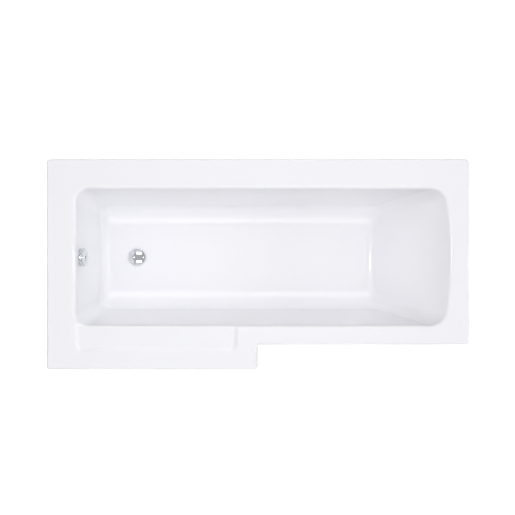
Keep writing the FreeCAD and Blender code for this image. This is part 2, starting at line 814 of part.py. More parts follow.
def adjustable_foot(number, x, y):
    """A plastic pad on a threaded stud, with a hexagon to turn it by."""
    pad_body = new_body(f"FootPad{number}")
    turned(
        pad_body,
        f"Pad{number}",
        [
            ("0", "0"),
            ("pad_radius - pad_edge", "0"),
            ("pad_radius", "pad_edge"),
            ("pad_radius", "pad_rim"),
            ("nut_radius + 2 * pad_neck", "pad_height - pad_neck"),
            ("nut_radius + pad_neck", "pad_height"),
            ("stud_radius + screw_play", "pad_height"),
            ("stud_radius + screw_play", "pad_height - pad_socket"),
            ("0", "pad_height - pad_socket"),
        ],
    )
    subpart(place(pad_body, x, y), f"foot_pad_{number}")
    stud = new_body(f"FootStud{number}")
    low = "pad_height - pad_socket"
    rise = "centre_stud_rise" if (x, y) == FEET[-1] else "stud_rise"
    high = f"({BOARD_UNDER} + {rise})"
    rod(stud, f"Stud{number}", "stud_radius", ("0", "0", low), f"{high} - ({low})")
    flats = primitive(stud, "Prism", f"Hexagon{number}", ("0", "0", "pad_height"), Rotation(), False)
    flats.Polygon = 6
    bind(flats, Circumradius="nut_radius", Height="nut_height")
    subpart(place(stud, x, y), f"foot_stud_{number}")


def wall_brackets():
    """Bent steel straps under the back batten that step out past the lip to the wall."""
    sides = [
        "-bracket_reach",
        "-sheet_steel",
        "-bracket_step",
        "-bracket_step_drop - sheet_steel",
        "-sheet_steel",
        "-bracket_drop",
        "0",
        "-bracket_step_drop",
        "sheet_steel - bracket_step",
        "0",
    ]
    outer = "bend + sheet_steel"
    radii = ["cut_edge", "bend", outer, "bend", "cut_edge", "cut_edge", outer, "bend", outer, "cut_edge"]
    straps = []
    for i, x in enumerate(BRACKETS):
        body = new_body(f"Bracket{i}")
        outline = angular_outline(body, f"BracketSection{i}", "0", sides, radii, "YZ_Plane")
        pad(body, f"Strap{i}", outline, "bracket_width", both_ways=True)
        at = ("0", "-3 * sheet_steel", "-wall_hole_drop")
        hole(body, f"WallHole{i}", "wall_hole", at, "4 * sheet_steel", "Y")
        for k in (-1, 1):
            at = (f"{k} * bracket_screw_spread / 2", "-bracket_screw_place", "-2 * sheet_steel")
            hole(body, f"ScrewHole{i}{k + 1}", "screw_radius + screw_play", at, "3 * sheet_steel")
        straps.append(place(body, x, BACK, BATTEN_UNDER))
    group("wall_brackets", straps)
    web = f"{BATTEN_UNDER} - sheet_steel"
    screws = [screw(f"BracketScrew{i}", (x, y, web)) for i, (x, y) in enumerate(BRACKET_SCREWS)]
    group("wall_bracket_screws", screws)


# The waste, with heights measured from the basin's floor

SPIGOT = "(waste_hole - waste_hole_play)"
BORE = f"({SPIGOT} - spigot_wall)"
FLANGE_UNDER = "(top_seal - dish_depth)"
FLANGE_TOP = f"({FLANGE_UNDER} + flange_thickness)"
CAP_UNDER = f"({FLANGE_TOP} + cap_gap)"
SEAT_TOP = f"({SPIGOT} - seat_land)"
BODY_TOP = f"(-{SKIN} - bottom_seal)"
CAVITY = f"({SPIGOT} + thread_play)"
BODY_RADIUS = f"({CAVITY} + waste_wall)"
LEVER_ARM = "(plug_lift / (2 * sin(lever_swing / 2)))"
STEM_BOTTOM = "(lever_tip + lever_gap - lever_level - plug_lift / 2)"
INLET_LEVEL = "(-lever_level - inlet_drop)"
INLET = f"({FLOOR} + {INLET_LEVEL})"
TAIL_BOTTOM = "(-waste_depth - tail_length)"


def at_waste(body, label):
    return subpart(place(body, WASTE_X, CENTRE, FLOOR), label)


def ring(label, inner, outer, low, high):
    """A flat ring about the waste's axis."""
    body = new_body(label)
    turned(body, label + "_turned", [(inner, low), (outer, low), (outer, high), (inner, high)])
    return at_waste(body, label)


def waste_flange():
    body = new_body("WasteFlange")
    turned(
        body,
        "Flange",
        [
            (BORE, "-spigot_length"),
            (SPIGOT, "-spigot_length"),
            (SPIGOT, FLANGE_UNDER),
            ("flange_radius", FLANGE_UNDER),
            ("flange_radius", f"{FLANGE_TOP} - flange_edge"),
            ("flange_radius - flange_edge", FLANGE_TOP),
            (SEAT_TOP, FLANGE_TOP),
            (BORE, f"{FLANGE_TOP} - {SEAT_TOP} + {BORE}"),
        ],
    )
    hub = "(2 * stem_radius)"
    rod(body, "Hub", hub, ("0", "0", "-spigot_length"), "hub_depth")
    along = ("0", f"{BORE} + spigot_wall / 2")
    across = ("-arm_width / 2", "arm_width / 2")
    deep = ("-spigot_length", "-spigot_length + hub_depth")
    for turn in (0, 120, 240):
        arm = block(body, f"Arm{turn}", along, across, deep)
        arm.Placement.Rotation = Rotation(Vector(0, 0, 1), turn)
        bind(arm, Placement__Base__x=f"arm_width / 2 * sin({turn})")
        bind(arm, Placement__Base__y=f"-arm_width / 2 * cos({turn})")
    start = ("0", "0", f"-spigot_length - {PAST}")
    hole(body, "Guide", "stem_radius + stem_play", start, f"hub_depth + 2 * {PAST}")
    return at_waste(body, "waste_flange")


def plug():
    cap = new_body("PlugCap")
    dome = "(cap_radius^2 + cap_rise^2) / (2 * cap_rise)"
    blank = turned(
        cap,
        "Cap",
        [
            ("stem_radius + stem_play", CAP_UNDER),
            ("cap_radius", CAP_UNDER),
            ("cap_radius", f"{CAP_UNDER} + cap_edge", dome, "left"),
            ("0", f"{CAP_UNDER} + cap_edge + cap_rise"),
            ("0", f"{CAP_UNDER} + cap_rise / 2"),
            ("stem_radius + stem_play", f"{CAP_UNDER} + cap_rise / 2"),
        ],
    )
    edge_height = value(f"{CAP_UNDER} + cap_edge")
    edges = edges_where(blank, lambda edge, faces: is_ring(edge, edge_height))
    rounded(cap, "CapRound", blank, edges, "min(cap_round; cap_edge / 2)")
    at_waste(cap, "plug_cap")
    seal = new_body("PlugSeal")
    reach = f"({SEAT_TOP} + cap_gap - seat_gap / sin(45))"
    turned(
        seal,
        "Seal",
        [
            ("stem_radius + stem_play", f"{CAP_UNDER} - plug_seal"),
            (f"{reach} - plug_seal", f"{CAP_UNDER} - plug_seal"),
            (reach, CAP_UNDER),
            ("stem_radius + stem_play", CAP_UNDER),
        ],
    )
    at_waste(seal, "plug_seal")
    stem = new_body("PlugStem")
    length = f"{CAP_UNDER} + cap_rise / 2 - 5 * stem_play - {STEM_BOTTOM}"
    rod(stem, "Stem", "stem_radius", ("0", "0", STEM_BOTTOM), length)
    under_seal = ("0", "0", f"{CAP_UNDER} - plug_seal - stem_collar")
    rod(stem, "Collar", "3 * stem_radius", under_seal, "stem_collar")
    at_waste(stem, "plug_stem")


def waste_body():
    body = new_body("WasteBody")
    turned(
        body,
        "Outside",
        [
            ("0", TAIL_BOTTOM),
            ("tail_radius", TAIL_BOTTOM),
            ("tail_radius", "-waste_depth"),
            (f"{BODY_RADIUS} - waste_edge", "-waste_depth"),
            (BODY_RADIUS, "-waste_depth + waste_edge"),
            (BODY_RADIUS, f"{BODY_TOP} - collar_thickness"),
            ("collar_radius", f"{BODY_TOP} - collar_thickness"),
            ("collar_radius", BODY_TOP),
            ("0", BODY_TOP),
        ],
    )
    rod(body, "Inlet", SOCKET_RADIUS, ("-socket_out", "0", INLET_LEVEL), "socket_out", "X")
    rod(body, "ShaftBoss", "2 * shaft_radius", (LEVER_ARM, "0", "-lever_level"), "drum_out + casing", "Y")
    rod(body, "Drum", "drum_radius", (LEVER_ARM, "drum_out", "-lever_level"), "drum_depth", "Y")
    rod(body, "GuidePort", "guide_radius + casing", GUIDE_PORT, LEVER_ARM, "X")
    turned(
        body,
        "Cavity",
        [
            ("0", f"{TAIL_BOTTOM} - {PAST}"),
            ("tail_radius - tail_wall", f"{TAIL_BOTTOM} - {PAST}"),
            ("tail_radius - tail_wall", "-waste_depth"),
            (CAVITY, f"-waste_depth + {CAVITY} - tail_radius + tail_wall"),
            (CAVITY, f"{BODY_TOP} + {PAST}"),
            ("0", f"{BODY_TOP} + {PAST}"),
        ],
        cut=True,
    )
    mouth = (f"-socket_out - {PAST}", "0", INLET_LEVEL)
    hole(body, "InletBore", "pipe_radius - pipe_wall", mouth, "socket_out", "X")
    hole(body, "InletSocket", "pipe_radius + pipe_play", mouth, f"socket_depth + {PAST}", "X")
    pivot = (LEVER_ARM, "0", "-lever_level")
    hole(body, "ShaftBore", "shaft_radius + shaft_play", pivot, "drum_out + drum_depth", "Y")
    inside = (LEVER_ARM, "drum_out + casing", "-lever_level")
    hole(body, "DrumCavity", "drum_radius - casing", inside, "drum_depth", "Y")
    hole(body, "GuideBore", "guide_radius + guide_play", GUIDE_PORT, LEVER_ARM, "X")
    return at_waste(body, "waste_body")


def lift_lever():
    """The lever under the plug's stem, with its shaft, at rest with its tip down."""
    body = new_body("LiftLever")
    rod(body, "Shaft", "shaft_radius", ("0", "-lever_width / 2", "0"), f"{CRANK_PLACE} + lever_width", "Y")
    along = (f"-{LEVER_ARM}", "0")
    across = ("-lever_width / 2", "lever_width / 2")
    block(body, "Arm", along, across, ("-lever_thickness / 2", "lever_thickness / 2"))
    rod(body, "Tip", "lever_tip", (f"-{LEVER_ARM}", "-lever_width / 2", "0"), "lever_width", "Y")
    subpart(at_pivot(body), "lift_lever")
    crank = new_body("LeverCrank")
    low = f"{CRANK_PLACE} - crank_thickness / 2"
    rod(crank, "Hub", "2 * shaft_radius", ("0", low, "0"), "crank_thickness", "Y")
    across = (low, f"{low} + crank_thickness")
    block(crank, "CrankArm", ("-lever_tip", "lever_tip"), across, ("-crank_arm", "0"))
    rod(crank, "Eye", "crank_eye", ("0", low, "-crank_arm"), "crank_thickness", "Y")
    start = ("0", f"{low} - {PAST}", "0")
    hole(crank, "CrankBore", "shaft_radius + press_play", start, f"crank_thickness + 2 * {PAST}", "Y")
    subpart(at_pivot(crank), "lever_crank")
    cover = new_body("LeverCover")
    rod(cover, "Disc", "drum_radius", (LEVER_ARM, "drum_out + drum_depth", "-lever_level"), "casing", "Y")
    at_waste(cover, "lever_cover")


def at_pivot(body):
    """Puts a piece of the lever on its pivot, with the tip down."""
    x, z = f"{WASTE_X} + {LEVER_ARM}", f"{FLOOR} - lever_level"
    return place(body, x, CENTRE, z, tilt="-lever_swing / 2")


# The overflow, in a frame on the foot wall: x down the wall, y across it and z out into the basin

OVERFLOW_X = f"({BASIN_FOOT} + overflow_drop * tan(foot_draft))"
OVERFLOW_Z = "(rim_height - overflow_drop)"
CUP_TOP = f"(-{SKIN} - overflow_gasket)"
CUP_BACK = f"({CUP_TOP} - cup_depth)"
SOCKET_RADIUS = "(pipe_radius + pipe_play + socket_wall)"
PIPE_PLACE = f"({CUP_BACK} + socket_rise + {SOCKET_RADIUS})"
CRANK_LEVEL = f"({CUP_BACK} - crank_gap - crank_thickness / 2)"
KNOB_BACK = "(rosette_thickness + knob_gap)"
CRANK_PLACE = "(drum_out + (drum_depth + casing) / 2)"
GUIDE_PORT = ("-socket_wall", CRANK_PLACE, "-lever_level - crank_arm")
WATER_HOLES = (0, 42, 138, 180, 222, 318)


def on_wall(x, y, z):
    """A point of the overflow's frame in the bath's own."""
    return (
        f"({OVERFLOW_X} + ({x}) * sin(foot_draft) + ({z}) * cos(foot_draft))",
        f"({CENTRE} + ({y}))",
        f"({OVERFLOW_Z} - ({x}) * cos(foot_draft) + ({z}) * sin(foot_draft))",
    )


def at_overflow(body, label):
    return subpart(place(body, OVERFLOW_X, CENTRE, OVERFLOW_Z, tilt="90 - foot_draft"), label)


def overflow_rosette():
    body = new_body("Rosette")
    turned(
        body,
        "Plate",
        [
            ("spindle_radius + rosette_play", "rosette_gap"),
            ("rosette_radius", "rosette_gap"),
            ("rosette_radius", "rosette_thickness - rosette_edge"),
            ("rosette_radius - rosette_edge", "rosette_thickness"),
            ("spindle_radius + rosette_play", "rosette_thickness"),
        ],
    )
    through = f"rosette_thickness + 2 * {PAST}"
    for side in (-1, 1):
        y = f"{side} * overflow_screw_place"
        hole(body, f"ScrewHole{side + 1}", "overflow_screw + screw_play", ("0", y, f"-{PAST}"), through)
        sunk = ("0", y, "rosette_thickness - overflow_screw")
        hole(body, f"Counterbore{side + 1}", "2 * overflow_screw", sunk, "2 * overflow_screw")
    for angle in WATER_HOLES:
        x, y = f"overflow_screw_place * cos({angle})", f"overflow_screw_place * sin({angle})"
        hole(body, f"WaterHole{angle}", "water_hole", (x, y, f"-{PAST}"), through)
    at_overflow(body, "overflow_rosette")


def overflow_screws():
    screws = []
    for side in (-1, 1):
        body = new_body(f"OverflowScrew{side + 1}")
        head = "rosette_thickness - overflow_screw"
        turned(
            body,
            f"ScrewTurned{side + 1}",
            [
                ("0", f"{CUP_BACK} + cup_depth / 2"),
                ("overflow_screw", f"{CUP_BACK} + cup_depth / 2"),
                ("overflow_screw", head),
                ("overflow_head", head),
                ("overflow_head", f"{head} + overflow_head_height - overflow_head_edge"),
                ("overflow_head - overflow_head_edge", f"{head} + overflow_head_height"),
                ("0", f"{head} + overflow_head_height"),
            ],
        )
        spot = on_wall("0", f"{side} * overflow_screw_place", "0")
        screws.append(place(body, *spot, tilt="90 - foot_draft"))
    group("overflow_screws", screws)


def overflow_body():
    gasket = new_body("OverflowGasket")
    inner, high = "overflow_hole + hole_margin", f"-{SKIN}"
    section = [(inner, CUP_TOP), ("collar_radius", CUP_TOP), ("collar_radius", high), (inner, high)]
    turned(gasket, "Gasket", section)
    at_overflow(gasket, "overflow_gasket")
    body = new_body("OverflowBody")
    collar = f"{CUP_TOP} - collar_thickness"
    turned(
        body,
        "CupOutside",
        [
            ("0", CUP_BACK),
            ("cup_radius - cup_edge", CUP_BACK),
            ("cup_radius", f"{CUP_BACK} + cup_edge"),
            ("cup_radius", collar),
            ("collar_radius", collar),
            ("collar_radius", CUP_TOP),
            ("0", CUP_TOP),
        ],
    )
    rod(body, "Outlet", SOCKET_RADIUS, ("0", "0", PIPE_PLACE), "socket_reach", "X")
    inside = "cup_radius - cup_wall"
    floor, mouth = f"{CUP_BACK} + cup_wall", f"{CUP_TOP} + {PAST}"
    turned(body, "CupInside", [("0", floor), (inside, floor), (inside, mouth), ("0", mouth)], cut=True)
    for side in (-1, 1):
        y = f"{side} * overflow_screw_place"
        base = ("0", y, f"{CUP_BACK} + cup_wall / 2")
        rod(body, f"Boss{side + 1}", "2 * overflow_screw", base, "cup_depth - cup_wall")
        hole(body, f"BossHole{side + 1}", "overflow_screw + screw_play", ("0", y, floor), "cup_depth")
    hole(body, "OutletBore", "pipe_radius - pipe_wall", ("0", "0", PIPE_PLACE), f"socket_reach + {PAST}", "X")
    socket = ("socket_reach - socket_depth", "0", PIPE_PLACE)
    hole(body, "OutletSocket", "pipe_radius + pipe_play", socket, f"socket_depth + {PAST}", "X")
    start = ("0", "0", f"{CUP_BACK} - {PAST}")
    hole(body, "SpindleBush", "spindle_radius + spindle_play", start, f"cup_wall + 2 * {PAST}")
    at_overflow(body, "overflow_body")


def crank_cover():
    body = new_body("CrankCover")
    inner = "crank_radius + crank_gap"
    low = f"{CUP_BACK} - 2 * crank_gap - crank_thickness"
    height = f"{CUP_BACK} - ({low})"
    rod(body, "CoverOutside", f"{inner} + casing", ("0", "0", f"{low} - casing"), f"{height} + casing")
    port = ("0", "guide_place", CRANK_LEVEL)
    rod(body, "CoverPort", "guide_radius + casing", port, f"{inner} + 4 * casing", "X")
    hole(body, "CoverInside", inner, ("0", "0", low), f"{height} + {PAST}")
    hole(body, "CoverPortBore", "guide_radius + guide_play", port, f"{inner} + 5 * casing", "X")
    at_overflow(body, "crank_cover")


def control_knob():
    body = new_body("Knob")
    side = f"({KNOB_BACK} + knob_depth - knob_crown)"
    dome = "(knob_radius^2 + knob_crown^2) / (2 * knob_crown)"
    bore, wall = "spindle_radius + press_play", "knob_radius - knob_wall"
    socket = f"{KNOB_BACK} + knob_socket"
    turned(
        body,
        "KnobTurned",
        [
            (bore, KNOB_BACK),
            ("knob_hub", KNOB_BACK),
            ("knob_hub", f"{KNOB_BACK} + knob_depth / 2"),
            (f"{wall} - scallop_depth", f"{KNOB_BACK} + knob_depth / 2"),
            (wall, f"{KNOB_BACK} + knob_depth / 5"),
            (wall, KNOB_BACK),
            ("knob_radius", KNOB_BACK),
            ("knob_radius", side, dome, "left"),
            ("0", f"{KNOB_BACK} + knob_depth"),
            ("0", socket),
            (bore, socket),
        ],
    )
    out, start = "(knob_radius + scallop_radius - scallop_depth)", f"{KNOB_BACK} + scallop_start"
    for i in (-1, 1):
        blank = hole(body, f"Scallop{i + 1}", "scallop_radius", (f"{i} * {out}", "0", start), "knob_depth")
    edges = edges_where(blank, lambda edge, faces: any(isinstance(f.Surface, Part.Sphere) for f in faces))
    rounded(body, "KnobRound", blank, edges, "min(knob_round; knob_crown / 2)")
    at_overflow(body, "control_knob")
    spindle = new_body("Spindle")
    low = f"({CRANK_LEVEL} - crank_thickness / 2)"
    rod(spindle, "SpindleRod", "spindle_radius", ("0", "0", low), f"{socket} - 5 * spindle_play - {low}")
    at_overflow(spindle, "knob_spindle")
    crank = new_body("KnobCrank")
    turned(
        crank,
        "CrankTurned",
        [
            (bore, low),
            ("crank_radius", low),
            ("crank_radius", f"{low} + crank_thickness * 0.2"),
            ("crank_radius - crank_thickness * 0.4", CRANK_LEVEL),
            ("crank_radius", f"{low} + crank_thickness * 0.8"),
            ("crank_radius", f"{low} + crank_thickness"),
            (bore, f"{low} + crank_thickness"),
        ],
    )
    at_overflow(crank, "knob_crank")


# Overflow pipe and guide tube, from the overflow down to the waste


def down_to(place_on_wall, level):
    """How far down the wall a line parallel to it reaches a height."""
    return f"(({OVERFLOW_Z} + ({place_on_wall}) * sin(foot_draft) - ({level})) / cos(foot_draft))"


def tube(label, points, bends, radius, bore="0"):
    """A round tube along straight runs, joined by arcs of the given radii at the inner points."""
    spots = [Vector(*[value(c) for c in point]) for point in points]
    edges = []
    last = spots[0]
    for i, bend in enumerate(bends, start=1):
        before = (spots[i] - spots[i - 1]).normalize()
        after = (spots[i + 1] - spots[i]).normalize()
        half_turn = before.getAngle(after) / 2
        reach = value(bend) * math.tan(half_turn)
        start, end = spots[i] - before * reach, spots[i] + after * reach
        inward = (after - before).normalize()
        top = spots[i] + inward * value(bend) * (1 / math.cos(half_turn) - 1)
        edges += [Part.LineSegment(last, start).toShape(), Part.Arc(start, top, end).toShape()]
        last = end
    edges.append(Part.LineSegment(last, spots[-1]).toShape())
    path = Part.Wire(edges)
    heading = spots[1] - spots[0]

    def swept(size):
        section = Part.Wire(Part.Circle(spots[0], heading, value(size)).toShape())
        return path.makePipeShell([section], True, False)

    shape = swept(radius).cut(swept(bore)) if bore != "0" else swept(radius)
    piece = doc.addObject("Part::Feature", label)
    piece.Shape = shape
    return subpart(piece, label)


def pipe_nut(name, x, y, z, tilt):
    """The nut and the seal at one end of the pipe, along their own Z from the socket's mouth."""
    outer = f"({SOCKET_RADIUS} + pipe_play + pipe_nut_wall)"
    nut = new_body(name)
    turned(
        nut,
        name + "_turned",
        [
            (f"{SOCKET_RADIUS} + pipe_play", "-2 * pipe_seal"),
            (outer, "-2 * pipe_seal"),
            (outer, "2 * pipe_seal"),
            (f"{outer} - pipe_seal / 2", "2.5 * pipe_seal"),
            ("pipe_radius + pipe_play", "2.5 * pipe_seal"),
            ("pipe_radius + pipe_play", "pipe_seal"),
            (f"{SOCKET_RADIUS} + pipe_play", "pipe_seal"),
        ],
    )
    out = f"({outer} + pipe_seal / 2)"
    for turn in range(0, 360, 45):
        spot = (f"{out} * cos({turn})", f"{out} * sin({turn})", "-3 * pipe_seal")
        hole(nut, f"{name}_grip{turn}", "pipe_seal", spot, "6 * pipe_seal")
    subpart(place(nut, x, y, z, tilt=tilt), name)
    seal = new_body(name + "Seal")
    inner = "pipe_radius + pipe_play"
    section = [(inner, "0"), (SOCKET_RADIUS, "0"), (SOCKET_RADIUS, "pipe_seal"), (inner, "pipe_seal")]
    turned(seal, name + "_seal", section)
    return place(seal, x, y, z, tilt=tilt)


def overflow_pipe():
    corner = on_wall(down_to(PIPE_PLACE, INLET), "0", PIPE_PLACE)
    inlet = f"{WASTE_X} - socket_out"
    start = on_wall("socket_reach - socket_depth + pipe_play", "0", PIPE_PLACE)
    end = (f"{inlet} + socket_depth - pipe_play", CENTRE, INLET)
    tube("overflow_pipe", [start, corner, end], ["pipe_bend"], "pipe_radius", "pipe_radius - pipe_wall")
    mouth = on_wall("socket_reach", "0", PIPE_PLACE)
    upper = pipe_nut("pipe_nut_overflow", *mouth, tilt="180 - foot_draft")
    lower = pipe_nut("pipe_nut_waste", inlet, CENTRE, INLET, tilt="-90")
    group("pipe_seals", [upper, lower])


def guide_tube():
    """The stiff tube for the pull wire between the two cranks, and the clips that hold it to the pipe."""
    low = f"({FLOOR} - lever_level - crank_arm - 4 * guide_radius)"
    port_x = f"{WASTE_X} + ({GUIDE_PORT[0]})"
    port_y = f"{CENTRE} + {GUIDE_PORT[1]}"
    port_z = f"{FLOOR} + ({GUIDE_PORT[2]})"
    route = [
        on_wall("crank_radius + crank_gap + 2 * casing", "guide_place", CRANK_LEVEL),
        on_wall(down_to(CRANK_LEVEL, low), "guide_place", CRANK_LEVEL),
        (f"{port_x} - guide_turn_start", f"{CENTRE} + guide_place", low),
        (f"{port_x} - guide_turn_end", port_y, port_z),
        (f"{port_x} + casing", port_y, port_z),
    ]
    tube("guide_tube", route, ["guide_drop_bend", "guide_bend", "guide_bend"], "guide_radius")
    clips = []
    first = "(socket_reach + clip_start)"
    last = f"({down_to(PIPE_PLACE, INLET)} - pipe_bend - clip_end - clip_width)"
    for i in range(3):
        clip = new_body(f"Clip{i}")
        x = f"({first} + ({last} - {first}) * {i} / 2)"
        rod(clip, f"PipeRing{i}", "pipe_radius + clip_wall", (x, "0", PIPE_PLACE), "clip_width", "X")
        beside = (x, "guide_place", CRANK_LEVEL)
        rod(clip, f"GuideRing{i}", "guide_radius + clip_wall", beside, "clip_width", "X")
        along = (x, f"{x} + clip_width")
        across = ("guide_place - clip_wall", "guide_place + clip_wall")
        block(clip, f"Web{i}", along, across, (CRANK_LEVEL, f"{PIPE_PLACE} - pipe_radius / 2"))
        start, through = f"{x} - {PAST}", f"clip_width + 2 * {PAST}"
        hole(clip, f"PipeHole{i}", "pipe_radius + guide_play", (start, "0", PIPE_PLACE), through, "X")
        beside = (start, "guide_place", CRANK_LEVEL)
        hole(clip, f"GuideHole{i}", "guide_radius + guide_play", beside, through, "X")
        clips.append(place(clip, OVERFLOW_X, CENTRE, OVERFLOW_Z, tilt="90 - foot_draft"))
    group("guide_clips", clips)


bath_shell()
glass_fibre_backing()
baseboard()
rim_battens()
cradle()
for number, (x, y) in enumerate(FEET, start=1):
    adjustable_foot(number, x, y)
wall_brackets()
waste_flange()
ring("waste_top_seal", "waste_hole", "flange_radius - flange_edge", "-dish_depth", FLANGE_UNDER)
ring("waste_bottom_seal", "waste_hole + hole_margin", "collar_radius", BODY_TOP, f"-{SKIN}")
waste_body()
plug()
lift_lever()
overflow_rosette()
overflow_screws()
overflow_body()
crank_cover()
control_knob()
overflow_pipe()
guide_tube()

doc.recompute()
faults = [o.Name for o in doc.Objects if "Invalid" in o.State or "Error" in o.State]
faults += [p.Label for p in subparts if p.Shape.isNull() or not p.Shape.isValid() or not p.Shape.Solids]
if faults:
    raise RuntimeError(f"failed objects: {faults}")

os.makedirs("parts", exist_ok=True)
for piece in subparts:
    piece.Shape.exportStep(f"parts/{piece.Label}.step")
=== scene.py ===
import json
import math

import bmesh
import bpy
from bpy.props import FloatProperty, PointerProperty, StringProperty
from bpy.types import Operator, Panel, PropertyGroup
from mathutils import Matrix, Vector


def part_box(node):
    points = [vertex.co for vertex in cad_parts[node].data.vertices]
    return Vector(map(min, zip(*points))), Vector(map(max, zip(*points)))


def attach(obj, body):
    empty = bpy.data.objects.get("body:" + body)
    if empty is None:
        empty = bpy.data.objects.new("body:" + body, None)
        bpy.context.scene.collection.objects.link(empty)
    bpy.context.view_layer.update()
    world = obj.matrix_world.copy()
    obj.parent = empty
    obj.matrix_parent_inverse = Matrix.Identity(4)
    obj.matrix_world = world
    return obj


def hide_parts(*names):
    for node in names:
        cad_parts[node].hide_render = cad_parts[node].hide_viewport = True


bl_info = {
    "name": "Shower bath finisher",
    "version": (1, 0, 0),
    "blender": (4, 5, 0),
    "location": "View3D > Sidebar > Shower bath",
    "description": "Moulds the acrylic, gives every piece of the bath its finish and sets the studio",
    "category": "Object",
}

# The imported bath. Lengths are in metres, with +X from the waste to the head end, +Y to the wall and +Z up.
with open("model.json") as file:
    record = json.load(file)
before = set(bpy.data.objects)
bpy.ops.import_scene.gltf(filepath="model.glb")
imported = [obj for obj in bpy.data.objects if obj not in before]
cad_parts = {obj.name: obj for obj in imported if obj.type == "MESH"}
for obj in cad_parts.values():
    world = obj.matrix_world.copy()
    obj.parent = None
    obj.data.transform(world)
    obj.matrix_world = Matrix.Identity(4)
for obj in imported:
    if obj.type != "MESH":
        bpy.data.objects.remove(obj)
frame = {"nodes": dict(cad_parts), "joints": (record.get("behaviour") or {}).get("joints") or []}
nodes = frame["nodes"]
joints = {joint["name"]: joint for joint in frame["joints"]}
foot_pads = sorted(name for name in nodes if name.startswith("foot_pad"))
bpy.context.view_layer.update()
shell_low, shell_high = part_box("bath_shell")
waste = sum(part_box("waste_flange"), Vector()) / 2
overflow = Vector(joints["knob_turn"]["pos_m"])
overflow_axis = Vector(joints["knob_turn"]["axis"])

MILLIMETRE = 0.001

# Points along the stretches of the basin's outline. The front corner and the end of the shelf get more,
# because the shelf's slopes cross them.
FOOT_STEPS = 26
FRONT_CORNER_STEPS = 90
FRONT_STEPS = 28
SHELF_END_STEPS = 40
HEAD_CORNER_STEPS = 16
BOW_STEPS = 30
BACK_STEPS = 40
BACK_CORNER_STEPS = 18

# Steps along the floor's bends, the rolled edge and the rim's edge.
BEND_STEP = math.radians(6)
ROLL_STEPS = 9
RIM_STEPS = 9

# The apron, the rim beside the basin: how far it reaches past the shelf's bends, and the cuts that let it
# follow the shelf where it is wider than this.
APRON_MARGIN = 4 * MILLIMETRE
APRON_CUTS = 43
APRON_WIDE = 5 * MILLIMETRE

# The window in the foot wall round the overflow: half its height and half its width as shares of the hole's
# radius, the least X of its faces' normals, and the points round the hole.
WINDOW_HEIGHT = 1.4
WINDOW_WIDTH = 1.45
WINDOW_FACING = 0.9
WINDOW_STEPS = 64

# Corners sharper than these stay sharp: on the moulding and on every other piece.
MOULDING_SHARP = math.radians(18)
PIECE_SHARP = math.radians(30)

# Points nearer than these are one: while a mesh is built and on the CAD meshes.
JOIN = MILLIMETRE / 100
CAD_JOIN = MILLIMETRE / 200

# The feet's studs: a metric thread of 12 mm, cut about 0.6 of its pitch deep, and a hexagon to turn it by.
STUD_RADIUS = 6 * MILLIMETRE
THREAD_PITCH = 1.75 * MILLIMETRE
THREAD_DEPTH = 0.61 * THREAD_PITCH
THREAD_STEPS = 24
HEXAGON_HEIGHT = 9 * MILLIMETRE
HEXAGON_CORNERS = 6


def length(name, description, default):
    settings = {"min": 0, "precision": 4, "unit": "LENGTH"}
    return FloatProperty(name=name, description=description, default=default, **settings)


def angle(name, description, degrees):
    return FloatProperty(name=name, description=description, default=math.radians(degrees), subtype="ANGLE")


def colour(name, description, default):
    return StringProperty(name=name, description=description, default=default, maxlen=7)


